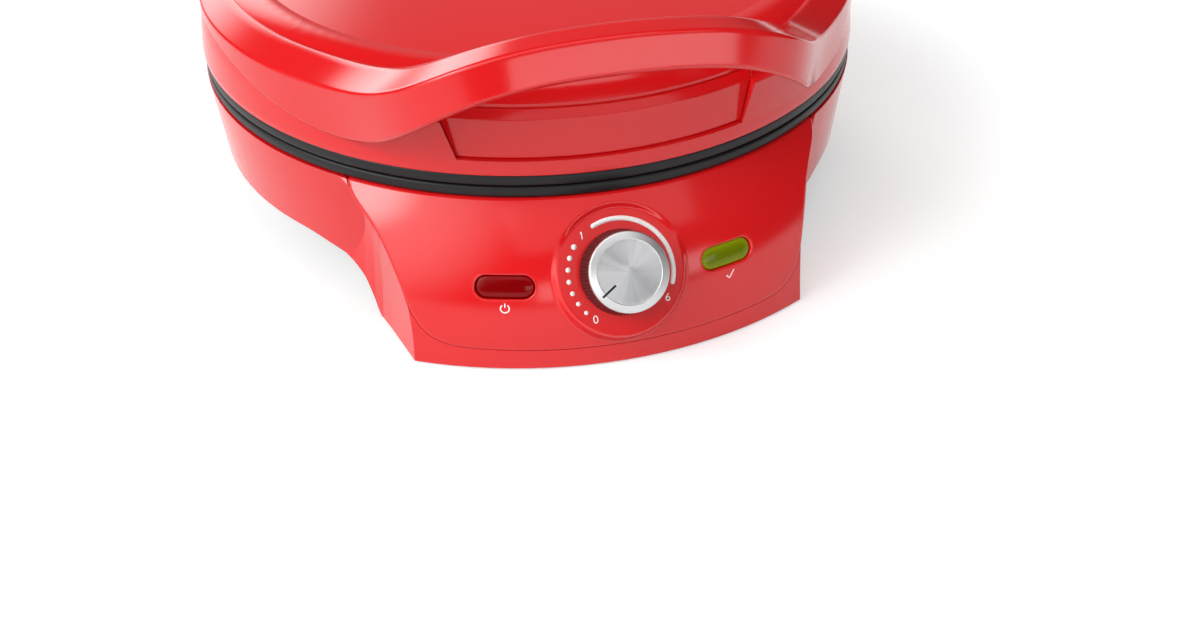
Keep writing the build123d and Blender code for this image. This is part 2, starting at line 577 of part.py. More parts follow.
zero_turn = Rotation(0, 0, -KNOB_START)
cap -= zero_turn * pointer
parts["knob_cap"] = dial * cap
parts["knob_pointer"] = dial * zero_turn * pointer

# Rear leg: the hinge lugs stand on it, and the supply lead would enter through its gland
rear_skin = leg_solid(0.0, LOWER_SEAT, REAR_NARROWING, SEAM, False)
rear_hollow = leg_solid(LEG_WALL, LOWER_SEAT + 1, REAR_NARROWING, LEG_WALL + SEAM, False)
rear = half_turn * (rear_skin - rear_hollow)
rear = (rear - inside_ring) & over_arch
lug_line = Polyline([
    (0, HINGE_Y - LUG_R, HINGE_Z), (0, HINGE_Y - LUG_R - 8, HINGE_Z - 24),
    (0, FACE_TOP_R - 8, LOWER_SEAT - 10), (0, FACE_TOP_R - 8, LOWER_SEAT - 14), (0, FACE_MID[0] - 4, 18),
    (0, HINGE_Y + LUG_R, HINGE_Z - LUG_R), (0, HINGE_Y + LUG_R, HINGE_Z)], close=True)
lug_face = make_face(lug_line)
lug_width = LUG_X[1] - LUG_X[0]
hinge_axis = Plane(origin=(0, HINGE_Y, HINGE_Z), x_dir=(0, 1, 0), z_dir=(1, 0, 0))
for start in (LUG_X[0], -LUG_X[1]):
    lug = Pos(start, 0, 0) * extrude(lug_face, lug_width, dir=(1, 0, 0))
    lug += hinge_axis * Pos(0, 0, start) * Cylinder(
        LUG_R, lug_width, align=(Align.CENTER, Align.CENTER, Align.MIN))
    rear += lug - half_turn * rear_hollow
rear -= hinge_axis * Cylinder(PIN_R + PIN_FIT, 4 * LUG_X[1])
rear_block = half_turn * leg_solid(LEG_WALL / 2, LOWER_SEAT, REAR_NARROWING, LEG_WALL / 2, False)
rear += flange_tabs(180.0, rear_block)
for side in (-1, 1):
    post = Pos(*around(180 + side * REAR_POST_ANGLE, REAR_POST_R, leg_floor)) * Cylinder(
        BOSS_POST_R, LOWER_SEAT - FLANGE_T - 12 - leg_floor, align=(Align.CENTER, Align.CENTER, Align.MIN))
    rear += post & rear_block

# Cord gland: a bushing through a short boss low on the rear leg
GLAND_X = 30.0
GLAND_Z = 22.0
GLAND_R = 6.0
GLAND_BORE = 3.6
GLAND_FLANGE_R = 8.6
GLAND_FLANGE_T = 2.5
GLAND_FACE_Y = 199.0
GLAND_NOSE = 6.0
GLAND_BACK_Y = 183.0
gland_axis = Plane(origin=(GLAND_X, GLAND_FACE_Y, GLAND_Z), x_dir=(1, 0, 0), z_dir=(0, 1, 0))
rear += gland_axis * Cylinder(
    GLAND_R + 4, GLAND_FACE_Y - GLAND_BACK_Y, align=(Align.CENTER, Align.CENTER, Align.MAX))
rear -= gland_axis * Cylinder(GLAND_R + SHAFT_FIT * 2, 60)
gland = Cylinder(GLAND_FLANGE_R, GLAND_FLANGE_T, align=(Align.CENTER, Align.CENTER, Align.MIN))
gland += Cone(
    GLAND_R + 0.8, GLAND_R - 1, GLAND_FLANGE_T + GLAND_NOSE, align=(Align.CENTER, Align.CENTER, Align.MIN))
gland += Cylinder(GLAND_R, GLAND_FACE_Y - GLAND_BACK_Y, align=(Align.CENTER, Align.CENTER, Align.MAX))
gland += Pos(0, 0, GLAND_BACK_Y - GLAND_FACE_Y) * Cylinder(
    GLAND_FLANGE_R, GLAND_FLANGE_T, align=(Align.CENTER, Align.CENTER, Align.MAX))
gland -= Cylinder(GLAND_BORE, 80)
parts["cord_gland"] = gland_axis * gland

# Bottom tray: one moulding that closes the base and both legs and follows the arch between them
shelf = arch_side(TRAY_LIFT, FOOT_Z, 60.0) - arch_side(TRAY_LIFT + TRAY_T, FOOT_Z + TRAY_T, 70.0)
core = turned(outline_of([
    (0, 0), (wall_foot_r - BASE_WALL - TRAY_CLEAR, 0),
    (wall_foot_r - BASE_WALL - TRAY_CLEAR + BASE_DRAFT * 60, 60), (0, 60)]))
legs_inside = leg_solid(LEG_WALL + TRAY_CLEAR, 60.0)
legs_inside += half_turn * leg_solid(
    LEG_WALL + TRAY_CLEAR, 60.0, REAR_NARROWING, LEG_WALL + TRAY_CLEAR + SEAM, False)
core_middle = core & Box(4 * BASE_R, 2 * ARCH_CURVE[2][0], 200)
tray = shelf & (core_middle + legs_inside)
tray_screws = side_screws + leg_screws + rear_screws
SLOT_L = 44.0
SLOT_W = 3.0
SLOT_PITCH = 9.0
for i in range(-4, 5):
    tray -= Pos(0, i * SLOT_PITCH, ARCH_Z) * extrude(SlotOverall(SLOT_L, SLOT_W), 20)
for place in tray_screws:
    tray -= place * bore()
for place in rear_screws:
    rear -= place * bore()
for place in rim_tabs:
    panel -= place * bore(TAB_SCREW_L)
    rear -= place * bore(TAB_SCREW_L)
parts["front_panel"] = panel
parts["rear_leg"] = rear
parts["bottom_tray"] = tray
parts["tray_screws"] = [place * screw() for place in tray_screws]
foot = Cylinder(FOOT_R, FOOT_Z, align=(Align.CENTER, Align.CENTER, Align.MIN))
foot = fillet(foot.edges().group_by(Axis.Z)[0], 0.8)
parts["rubber_feet"] = [Pos(x, y, 0) * foot for x, y in FOOT_PLACES]

# Wiring inside the base
BLOCK = (34.0, 16.0, 14.0)
BLOCK_AT = (-22.0, 160.0)
block_place = Pos(BLOCK_AT[0], BLOCK_AT[1], leg_floor)
block = block_place * Box(*BLOCK, align=(Align.CENTER, Align.CENTER, Align.MIN))
for i in (-1, 0, 1):
    block -= block_place * Pos(i * BLOCK[0] / 3.2, 0, BLOCK[2]) * Cylinder(2.2, 6.0)
parts["terminal_block"] = block
WIRE_R = 1.3
wires = []
wire_z = tray_top + WIRE_R + 1.2
for lane in (-6.0, 0.0, 6.0):
    start_x = BLOCK_AT[0] + lane * 1.4
    points = [
        (start_x, BLOCK_AT[1] - BLOCK[1] / 2 - 0.6, leg_floor + BLOCK[2] - 4),
        (start_x, BLOCK_AT[1] - BLOCK[1] / 2 - 9, leg_floor + BLOCK[2] - 2),
        (start_x - 4, 112.0, wire_z + 6),
        (lane - 40, 70.0, wire_z),
        (lane - 40, -70.0, wire_z),
        (lane * 1.2 - 20, -118.0, wire_z + 4),
        (lane * 1.2 - 8, -140.0, wire_z + 1),
    ]
    path = FilletPolyline(points, radius=6.0)
    section = Plane(origin=path @ 0, z_dir=path % 0) * Circle(WIRE_R)
    wires.append(sweep(section, path=path))
parts["lead_wires"] = wires
FUSE_R = 3.0
FUSE_L = 22.0
fuse_axis = Plane(origin=(0, 60.0, PLATE_UNDER - HEATER_SEAT - FUSE_R), x_dir=(0, 1, 0), z_dir=(1, 0, 0))
parts["thermal_fuse"] = fuse_axis * Cylinder(FUSE_R, FUSE_L)

# Upper cooking plate: the lower one's mate, hung under the lid
upper = turned(outline_of([
    (0, PLATE_OVER), (COOK_R - COOK_DRAFT + PLATE_WALL * 0.6, PLATE_OVER),
    (COOK_R + PLATE_WALL, UPPER_SEAT), (PLATE_R, UPPER_SEAT), (PLATE_R, UPPER_BOTTOM), (COOK_R, UPPER_BOTTOM),
    (COOK_R - COOK_DRAFT, COOK_ROOF), (0, COOK_ROOF)]))
upper = round_rim(upper)
REFLECTOR_HIGH_BOTTOM = PLATE_OVER + REFLECTOR_DROP
for angle in POST_ANGLES:
    upper += Pos(*around(angle, POST_RING_R, REFLECTOR_HIGH_BOTTOM)) * Cylinder(
        POST_R, REFLECTOR_DROP + 1, align=(Align.CENTER, Align.CENTER, Align.MAX))
UPPER_SCREW_L = FLANGE_T + UPPER_RIM_H * 0.55
rim_high = [at(around(a, RIM_SCREW_R, UPPER_SEAT + FLANGE_T))
            for a in (52.0, 100.0, 150.0, 210.0, 260.0, 308.0)]
post_high = [at(around(a, POST_RING_R, REFLECTOR_HIGH_BOTTOM + REFLECTOR_T)) for a in POST_ANGLES]
for place in rim_high:
    upper -= place * bore(UPPER_SCREW_L)
for place in post_high:
    upper -= place * bore()
parts["upper_plate"] = upper
parts["upper_plate_screws"] = [place * screw(UPPER_SCREW_L) for place in rim_high]
parts["upper_reflector_screws"] = [place * screw() for place in post_high]
reflector = turned(outline_of([
    (0, REFLECTOR_HIGH_BOTTOM), (REFLECTOR_R - REFLECTOR_T, REFLECTOR_HIGH_BOTTOM),
    (REFLECTOR_R + 3 - REFLECTOR_T, REFLECTOR_HIGH_BOTTOM - 3), (REFLECTOR_R + 3, REFLECTOR_HIGH_BOTTOM - 3),
    (REFLECTOR_R, REFLECTOR_HIGH_BOTTOM + REFLECTOR_T), (0, REFLECTOR_HIGH_BOTTOM + REFLECTOR_T)]))
for place in post_high:
    reflector -= place * bore()
parts["upper_reflector"] = reflector
UPPER_TUBE_Z = PLATE_OVER + HEATER_SEAT + HEATER_TUBE_R
parts["upper_heater"] = heater(UPPER_TUBE_Z, 1)
parts["upper_heater_clips"] = heater_clips(UPPER_TUBE_Z, PLATE_OVER, 1)


# Lid shell: a domed moulding with a flange for the upper plate and a finger pocket in front
def lid_dome(inset, bottom):
    """The lid's outside, moved in along its normals and filled down to this height."""
    rim = (LID_RIM_R - inset, 0, bottom)
    side = [(r - inset * cos(radians(n)), 0, z - inset * sin(radians(n))) for r, z, n in LID_PROFILE]
    top = (LID_CROWN_R, 0, LID_TOP_Z - inset)
    edge = side[-1]
    between = (edge[0] / 2, 0, edge[2] + (top[2] - edge[2]) * 0.75)
    outline = Wire([
        Line(rim, side[0]), Spline(side), ThreePointArc(edge, between, top), Line(top, (0, 0, top[2])),
        Line((0, 0, top[2]), (0, 0, bottom)), Line((0, 0, bottom), rim)])
    return turned(make_face(outline))


def root_block(grow):
    """The upright wall either side of the pocket, which the handle's ends are screwed to."""
    inner = BASE_FLANGE_INNER + 4
    return sector(outline_of([
        (inner, UPPER_SEAT + 1), (ROOT_R + grow, UPPER_SEAT + 1), (ROOT_R + grow, ROOT_TOP_Z + grow),
        (inner, ROOT_TOP_Z + grow)]), 0.0, ROOT_HALF_ANGLE + degrees(grow / ROOT_R))


lid_outside = lid_dome(0.0, UPPER_SEAT)
lid = lid_outside - lid_dome(LID_WALL, UPPER_SEAT - 1)
lid += turned(outline_of([
    (BASE_FLANGE_INNER, UPPER_SEAT), (LID_RIM_R - LID_WALL / 2, UPPER_SEAT),
    (LID_RIM_R - LID_WALL / 2, UPPER_SEAT + FLANGE_T), (BASE_FLANGE_INNER, UPPER_SEAT + FLANGE_T)]))
lid += root_block(0.0)
pocket_outline = outline_of([
    POCKET_LOW, POCKET_HIGH, (POCKET_HIGH[0], LID_TOP_Z), (ROOT_R + 10, LID_TOP_Z),
    (ROOT_R + 10, POCKET_LOW[1])])
(low_half, low_z), (high_half, high_z) = POCKET_HALF_W
top_half = high_half + (high_half - low_half) / (high_z - low_z) * (LID_TOP_Z - high_z)
pocket_sides = make_face(Polyline([
    (-low_half, 0, low_z), (low_half, 0, low_z), (top_half, 0, LID_TOP_Z), (-top_half, 0, LID_TOP_Z)],
    close=True))
lid -= sector(pocket_outline, 0.0, ROOT_HALF_ANGLE) & extrude(pocket_sides, 2 * ROOT_R, dir=(0, -1, 0))
for place in rim_high:
    lid -= place * bore(UPPER_SCREW_L)
    lid -= place * Cylinder(
        SCREW_HEAD_R + 0.4, 2 * LID_WALL + 4, align=(Align.CENTER, Align.CENTER, Align.MIN))

# Handle: one moulding, a band round the lid that rises into a bar across the front
fitted_round = lid_dome(-LID_FIT, UPPER_SEAT) + root_block(LID_FIT)


def handle_section(station, side):
    x, y, z, direction, out, ridge_z, low_out, low_z, in_out, in_z = station
    a = radians(direction)
    bevel = HANDLE_BEVEL * 0.6

    def at_out(distance, height):
        return (side * (x + distance * sin(a)), y - distance * cos(a), height)

    corners = [
        at_out(0.0, z), at_out(out, ridge_z), at_out(low_out, low_z + HANDLE_BEVEL),
        at_out(low_out - bevel, low_z), at_out(in_out, in_z)]
    return make_face(Polyline(corners, close=True))


stations = [handle_section(s, -1) for s in HANDLE[:0:-1]] + [handle_section(s, 1) for s in HANDLE]
handle = loft(stations) - fitted_round

# Rear cover: it joins the band's ends, carries the two hinge arms and is screwed to the lid
tail = HANDLE[-1]
cover_outline = outline_of([
    (hypot(tail[0], tail[1]), tail[2]), (hypot(tail[0], tail[1]) + tail[4], tail[5]),
    (LID_RIM_R + 3, HINGE_Z + 14), (LID_RIM_R + 3, UPPER_SEAT + 3), (LID_RIM_R - 4, UPPER_SEAT + 3),
    (COOK_R, LID_TOP_Z - 22)])
cover = sector(cover_outline, 180.0, COVER_HALF_ANGLE)
arm_face = make_face(Polyline([
    (0, LID_RIM_R - 12, UPPER_SEAT + 5), (0, HINGE_Y, HINGE_Z - KNUCKLE_R * 0.3),
    (0, HINGE_Y, HINGE_Z + KNUCKLE_R), (0, HINGE_Y - 2 * KNUCKLE_R, HINGE_Z + 2 * KNUCKLE_R),
    (0, LID_RIM_R - 12, LID_TOP_Z - 14)], close=True))
knuckle_width = KNUCKLE_X[1] - KNUCKLE_X[0]
for start in (KNUCKLE_X[0], -KNUCKLE_X[1]):
    arm = Pos(start, 0, 0) * extrude(arm_face, knuckle_width, dir=(1, 0, 0))
    arm += hinge_axis * Pos(0, 0, start) * Cylinder(
        KNUCKLE_R, knuckle_width, align=(Align.CENTER, Align.CENTER, Align.MIN))
    cover += arm
cover -= fitted_round
cover -= hinge_axis * Cylinder(PIN_R + PIN_FIT, 4 * LUG_X[1])

# Screws from inside the lid into the handle and the rear cover
HANDLE_SCREW_Z = 99.0
inner_wall_r = 165.0 - LID_WALL
side_places = []
for angle in (-35.8, 35.8):
    side_places.append(plane_at(around(angle, BASE_FLANGE_INNER + 4, HANDLE_SCREW_Z), angle + 180, 0.0))
HANDLE_SCREW_L = 12.0
cover_places = []
for angle in (160.0, 200.0):
    cover_places.append(plane_at(around(angle, inner_wall_r, HANDLE_SCREW_Z), angle + 180, 0.0))
for place in side_places:
    lid -= place * bore(HANDLE_SCREW_L)
    lid -= place * Cylinder(SCREW_HEAD_R + 0.4, 6, align=(Align.CENTER, Align.CENTER, Align.MIN))
    handle -= place * bore(HANDLE_SCREW_L)
COVER_SCREW_L = 8.0
for place in cover_places:
    lid -= place * bore(COVER_SCREW_L)
    lid -= place * Cylinder(SCREW_HEAD_R + 0.4, 6, align=(Align.CENTER, Align.CENTER, Align.MIN))
    cover -= place * bore(COVER_SCREW_L)
parts["lid_handle"] = handle
parts["hinge_cover"] = cover
parts["lid_shell"] = lid
parts["handle_screws"] = [place * screw(HANDLE_SCREW_L) for place in side_places]
parts["hinge_cover_screws"] = [place * screw(COVER_SCREW_L) for place in cover_places]

# Hinge pin and its retaining rings
CLIP_RING_R = 5.0
CLIP_RING_T = 1.0
PIN_HALF = LUG_X[1] + 3.0
parts["hinge_pin"] = hinge_axis * Cylinder(PIN_R, 2 * PIN_HALF)
rings = []
for start in (LUG_X[1] + 0.2, -LUG_X[1] - 0.2 - CLIP_RING_T):
    ring = Cylinder(CLIP_RING_R, CLIP_RING_T, align=(Align.CENTER, Align.CENTER, Align.MIN))
    ring -= Cylinder(PIN_R + PIN_FIT, 10)
    rings.append(hinge_axis * Pos(0, 0, start) * ring)
parts["hinge_pin_rings"] = rings

os.makedirs("parts", exist_ok=True)
for name, shape in parts.items():
    solids = shape if isinstance(shape, list) else [shape]
    body = Compound(children=[s for piece in solids for s in piece.solids()])
    body.label = name
    export_step(body, f"parts/{name}.step")
    print(name, len(body.solids()), round(body.volume))
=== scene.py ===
from math import cos, degrees, hypot, pi, radians, sin

import bmesh
import bpy
import numpy as np
from mathutils import Euler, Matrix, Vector


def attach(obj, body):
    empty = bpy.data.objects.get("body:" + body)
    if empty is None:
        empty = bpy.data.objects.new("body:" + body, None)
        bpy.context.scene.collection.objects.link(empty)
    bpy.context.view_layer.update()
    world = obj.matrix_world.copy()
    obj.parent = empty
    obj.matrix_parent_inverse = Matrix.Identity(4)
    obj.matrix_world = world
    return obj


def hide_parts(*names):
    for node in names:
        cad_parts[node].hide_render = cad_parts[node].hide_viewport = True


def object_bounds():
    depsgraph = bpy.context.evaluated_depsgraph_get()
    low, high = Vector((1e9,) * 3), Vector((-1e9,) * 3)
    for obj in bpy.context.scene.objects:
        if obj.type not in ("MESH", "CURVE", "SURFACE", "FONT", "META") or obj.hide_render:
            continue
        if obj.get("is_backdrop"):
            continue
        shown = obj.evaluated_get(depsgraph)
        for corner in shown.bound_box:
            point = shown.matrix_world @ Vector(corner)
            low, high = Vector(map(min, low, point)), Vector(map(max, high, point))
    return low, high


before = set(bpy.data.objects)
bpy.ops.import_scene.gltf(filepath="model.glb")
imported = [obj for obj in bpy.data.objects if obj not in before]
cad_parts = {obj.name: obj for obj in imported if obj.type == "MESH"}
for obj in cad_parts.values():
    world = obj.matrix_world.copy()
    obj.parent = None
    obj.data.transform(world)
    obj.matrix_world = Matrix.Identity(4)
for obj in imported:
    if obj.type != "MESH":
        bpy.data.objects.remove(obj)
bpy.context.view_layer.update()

# The pizza maker stands on a pale table-top sweep, seen from the front left and from above.
# A camera with a normal lens looks down on the dial; the floor is wide enough to have no edge.
MM = 0.001
CAMERA_PLACE = Vector((-127.6, -646.2, 385.2)) * MM
CAMERA_TILT = 52.3697
CAMERA_TURN = -14.4425
CAMERA_LENS = 39.8595
SENSOR_WIDTH = 36.0
FLOOR_HALF = 6.0
FLOOR_DROP = 0.1 * MM
FLOOR_COLOUR = (0.70, 0.70, 0.70, 1.0)
FLOOR_SHADE = (0.68, 0.68, 0.68, 1.0)
FLOOR_CLOUDS = 3.0
FLOOR_LIFT = 0.42
WHITE = (1.0, 1.0, 1.0, 1.0)

eye = bpy.data.objects.new("camera", bpy.data.cameras.new("camera"))
bpy.context.scene.collection.objects.link(eye)
eye.location = CAMERA_PLACE
eye.rotation_euler = Euler((radians(CAMERA_TILT), 0.0, radians(CAMERA_TURN)))
eye.data.lens = CAMERA_LENS
eye.data.sensor_width = SENSOR_WIDTH
bpy.context.scene.camera = eye
bpy.context.scene.view_settings.view_transform = "Standard"


class Signal:
    """An output socket that adds Math nodes to its tree for +, *, ** and a number minus it."""

    def __init__(self, recipe, socket):
        self.recipe = recipe
        self.socket = socket

    def __add__(self, other):
        return self.recipe.math("ADD", self, other)

    def __rsub__(self, other):
        return self.recipe.math("SUBTRACT", other, self)

    def __mul__(self, other):
        return self.recipe.math("MULTIPLY", self, other)

    def __pow__(self, other):
        return self.recipe.math("POWER", self, other)

    __radd__ = __add__
    __rmul__ = __mul__


class Recipe:
    """A node tree being mixed. node() adds one node: its settings first, then its sockets."""

    def __init__(self, owner):
        owner.use_nodes = True
        self.owner = owner
        self.tree = owner.node_tree
        self.tree.nodes.clear()

    def node(self, kind, sockets=(), out=0, **settings):
        made = self.tree.nodes.new("ShaderNode" + kind)
        for key, value in settings.items():
            setattr(made, key, value)
        for key, value in dict(sockets).items():
            if isinstance(value, Signal):
                self.tree.links.new(value.socket, made.inputs[key])
            else:
                made.inputs[key].default_value = value
        return Signal(self, made.outputs[out])

    def math(self, operation, first, second):
        """A sum on two values, each a number or a Signal."""
        return self.node("Math", {0: first, 1: second}, operation=operation)

    def mix(self, share, first, second):
        """A colour between two: the Mix node takes them at 6 and 7 and gives the result at 2."""
        return self.node("Mix", {0: share, 6: first, 7: second}, out=2, data_type="RGBA")

    def noise(self, scale, detail=2.0):
        """Soft noise fixed to the piece, with about this many patches to the metre."""
        place = self.node("TexCoord", out="Object")
        return self.node("TexNoise", {"Vector": place, "Scale": scale, "Detail": detail})

    def output(self, shader, kind="OutputMaterial"):
        """Ends the tree with this shader and gives back the material or world that owns it."""
        end = self.tree.nodes.new("ShaderNode" + kind)
        self.tree.links.new(shader.socket, end.inputs["Surface"])
        return self.owner


def camera_sees(recipe):
    """1 for what the camera, a reflection or a clear piece sees directly, otherwise 0."""
    seen = [recipe.node("LightPath", out=name)
            for name in ("Is Camera Ray", "Is Glossy Ray", "Is Transmission Ray")]
    return seen[0] + seen[1] + seen[2]


def sweep_floor():
    """The floor's paint: matt and pale, lifted to white where it is seen and not in shadow."""
    recipe = Recipe(bpy.data.materials.new("pale_floor"))
    tone = recipe.mix(recipe.noise(FLOOR_CLOUDS), FLOOR_COLOUR, FLOOR_SHADE)
    matt = recipe.node("BsdfDiffuse", {"Color": tone})
    lift = recipe.node("Emission", {"Color": WHITE, "Strength": camera_sees(recipe) * FLOOR_LIFT})
    return recipe.output(recipe.node("AddShader", {0: matt, 1: lift}))


floor_mesh = bpy.data.meshes.new("floor")
floor_corners = [(x * FLOOR_HALF, y * FLOOR_HALF, -FLOOR_DROP)
                 for x, y in ((-1, -1), (1, -1), (1, 1), (-1, 1))]
floor_mesh.from_pydata(floor_corners, [], [(0, 1, 2, 3)])
floor_mesh.materials.append(sweep_floor())
floor = bpy.data.objects.new("floor", floor_mesh)
bpy.context.scene.collection.objects.link(floor)
floor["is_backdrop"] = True


# Soft studio light: a dim room with white glows that fade out at their edges, and soft boxes with
# crisp edges, which together draw the pale bands on the glossy mouldings. Bearings are degrees from
# the front towards the right, heights degrees above the floor. The fills are not mirrored.
ROOM_LEVEL = 0.06
GLOWS = (
    (-77.0, 37.0, 5.0, 19.0, 7.0),
    (-68.0, 32.0, 8.0, 46.0, 2.5),
    (-161.0, 21.0, 6.0, 21.0, 4.2),
    (170.0, 26.0, 5.0, 30.0, 0.35),
)
SOFT_BOXES = (
    ("low_front_box", 14.0, 6.0, 1.9, (1.85, 0.30), 2.7, True),
    ("front_box", 11.0, 38.0, 1.8, (1.75, 0.80), 0.75, True),
    ("overhead_box", 8.0, 68.0, 1.5, (0.90, 0.50), 1.8, True),
    ("right_fill", 48.0, 34.0, 1.8, (1.20, 1.00), 0.9, False),
    ("top_fill", 150.0, 72.0, 1.8, (1.50, 1.50), 0.55, False),
)
AIM = Vector((0.0, -0.05, 0.08))


def bearing_to(bearing, height):
    """The direction that lies this far round from the front and this far above the floor."""
    bearing, height = radians(bearing), radians(height)
    return Vector((sin(bearing) * cos(height), -cos(bearing) * cos(height), sin(height)))


def glow_room():
    """The dim level plus, for each glow, a smooth step down from its middle to its outer angle.

    A glow has its bearing and height, the angles where it starts and ends to fade, and a radiance.
    """
    recipe = Recipe(bpy.data.worlds.new("room"))
    level = ROOM_LEVEL
    for bearing, height, inner, outer, radiance in GLOWS:
        sight = recipe.node("TexCoord", out="Generated")
        along = recipe.node("VectorMath", {0: sight, 1: bearing_to(bearing, height)}, out="Value",
                            operation="DOT_PRODUCT")
        fade = {"Value": along, "From Min": cos(radians(outer)), "From Max": cos(radians(inner)),
                "To Max": radiance}
        level = level + recipe.node("MapRange", fade, interpolation_type="SMOOTHSTEP")
    room = recipe.node("Background", {"Color": WHITE, "Strength": level})
    white = recipe.node("Background", {"Color": WHITE, "Strength": 1.0})
    seen = recipe.node("LightPath", out="Is Camera Ray")
    return recipe.output(recipe.node("MixShader", {0: seen, 1: room, 2: white}), "OutputWorld")


bpy.context.scene.world = glow_room()
# The power of a soft box is its radiance times pi times its area.
for name, bearing, height, distance, (wide, tall), radiance, mirrored in SOFT_BOXES:
    box = bpy.data.lights.new(name, "AREA")
    box.shape = "RECTANGLE"
    box.size = wide
    box.size_y = tall
    box.energy = radiance * pi * wide * tall
    holder = bpy.data.objects.new(name, box)
    bpy.context.scene.collection.objects.link(holder)
    holder.location = AIM + bearing_to(bearing, height) * distance
    holder.rotation_euler = bearing_to(bearing, height).to_track_quat("Z", "Y").to_euler()
    holder.visible_glossy = mirrored
    holder.visible_camera = False


# Base shell, rear leg, lid shell and hinge cover: glossy injection-moulded plastic, one red for
# all. The grain is the faint orange peel of a polished mould, and the corners are eased.
RED = (0.70, 0.0090, 0.0110, 1.0)
RED_DEEP = (0.65, 0.0070, 0.0090, 1.0)
RED_ROUGH = (0.13, 0.04)
RED_IOR = 1.54
DRIFT_PATCHES = 9.0
GLOSS_PATCHES = 35.0
PEEL_PATCHES = 420.0
PEEL_STRENGTH = 0.012
RELIEF = 0.2 * MM
SHELL_EASING = 0.6 * MM
BEVEL_SAMPLES = 6


def red_plastic(name, easing=0.0):
    """Glossy red: a slow drift between two reds, a fine peel, and corners eased by this radius."""
    recipe = Recipe(bpy.data.materials.new(name))
    drift = recipe.noise(DRIFT_PATCHES)
    peel = recipe.noise(PEEL_PATCHES, 1.0)
    gloss = recipe.noise(GLOSS_PATCHES) * RED_ROUGH[1] + RED_ROUGH[0]
    relief = {"Strength": PEEL_STRENGTH, "Distance": RELIEF, "Height": peel}
    if easing:
        relief["Normal"] = recipe.node("Bevel", {"Radius": easing}, samples=BEVEL_SAMPLES)
    shader = recipe.node("BsdfPrincipled", {
        "Base Color": recipe.mix(drift, RED, RED_DEEP), "Roughness": gloss,
        "Normal": recipe.node("Bump", relief), "IOR": RED_IOR})
    return recipe.output(shader)


def dress(material, *nodes):
    """Gives these construction pieces their finish."""
    for node in nodes:
        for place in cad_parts[node].material_slots:
            place.material = material


shell_red = red_plastic("shell_red", SHELL_EASING)
dress(shell_red, "base_shell", "rear_leg", "lid_shell", "hinge_cover")


# Cooking plates: cast aluminium under a satin dark non-stick coat, which shows as two dark
# rims all round the parting line. The coat has a fine cast pebble.
COATING = (0.013, 0.013, 0.014, 1.0)
COATING_DEEP = (0.009, 0.009, 0.010, 1.0)
COATING_ROUGH = (0.38, 0.10)
COATING_IOR = 1.36
COATING_PATCHES = 25.0
PEBBLE_PATCHES = 900.0
PEBBLE_STRENGTH = 0.15
PLATE_EASING = 0.4 * MM


def satin_coating():
    """Satin black with slow clouds in its tone and gloss, a fine pebble, and eased corners."""
    recipe = Recipe(bpy.data.materials.new("plate_coating"))
    pebble = recipe.noise(PEBBLE_PATCHES)
    cloud = recipe.noise(COATING_PATCHES)
    eased_normal = recipe.node("Bevel", {"Radius": PLATE_EASING}, samples=BEVEL_SAMPLES)
    bump = recipe.node("Bump", {"Strength": PEBBLE_STRENGTH, "Distance": RELIEF, "Height": pebble,
                                "Normal": eased_normal})
    shader = recipe.node("BsdfPrincipled", {
        "Base Color": recipe.mix(cloud, COATING, COATING_DEEP), "IOR": COATING_IOR,
        "Roughness": cloud * COATING_ROUGH[1] + COATING_ROUGH[0], "Normal": bump})
    return recipe.output(shader)


plate_black = satin_coating()
dress(plate_black, "lower_plate", "upper_plate")


# Bottom tray, feet and the pieces inside: plain workshop finishes that show when the lid is
# open or the object is turned over.
FINISH_PATCHES = 40.0
FINISH_SPREAD = 0.12


def plain_finish(name, light, dark, rough, metal=0.0, grain=300.0, strength=0.12):
    """A finish with a slow drift between two tones and a fine grain that also moves the gloss."""
    recipe = Recipe(bpy.data.materials.new(name))
    drift = recipe.noise(FINISH_PATCHES)
    fine = recipe.noise(grain)
    bump = recipe.node("Bump", {"Strength": strength, "Distance": RELIEF, "Height": fine})
    shader = recipe.node("BsdfPrincipled", {
        "Base Color": recipe.mix(drift, (*light, 1.0), (*dark, 1.0)), "Metallic": metal,
        "Roughness": fine * FINISH_SPREAD + (rough - FINISH_SPREAD / 2), "Normal": bump})
    return recipe.output(shader)


dress(plain_finish("tray_black", (0.018, 0.018, 0.019), (0.012, 0.012, 0.013), 0.5), "bottom_tray")
dress(plain_finish("foot_rubber", (0.022, 0.022, 0.022), (0.015, 0.015, 0.015), 0.8, grain=700.0),
      "rubber_feet")
dress(plain_finish("bright_steel", (0.62, 0.62, 0.63), (0.52, 0.52, 0.54), 0.28, 1.0),
      "tray_screws", "lower_plate_screws", "lower_reflector_screws", "upper_plate_screws",
      "upper_reflector_screws", "thermostat_bracket_screws", "handle_screws", "hinge_cover_screws",
      "hinge_pin", "hinge_pin_rings", "thermostat_shaft", "thermostat_bracket", "lower_heater_clips",
      "upper_heater_clips")
dress(plain_finish("rolled_reflector", (0.72, 0.72, 0.74), (0.64, 0.64, 0.66), 0.32, 1.0, 90.0),
      "lower_reflector", "upper_reflector")
dress(plain_finish("heater_sheath", (0.15, 0.13, 0.12), (0.08, 0.075, 0.07), 0.5, 0.8),
      "lower_heater", "upper_heater", "thermal_fuse")
dress(plain_finish("holder_white", (0.75, 0.74, 0.70), (0.68, 0.67, 0.63), 0.5),
      "lamp_holders", "terminal_block")
dress(plain_finish("lamp_glass", (0.80, 0.55, 0.35), (0.70, 0.45, 0.30), 0.1),
      "power_lamp", "ready_lamp")
dress(plain_finish("thermostat_ceramic", (0.60, 0.56, 0.48), (0.52, 0.48, 0.41), 0.6), "thermostat_body")
dress(plain_finish("wire_sheath", (0.60, 0.60, 0.58), (0.50, 0.50, 0.48), 0.5), "lead_wires")
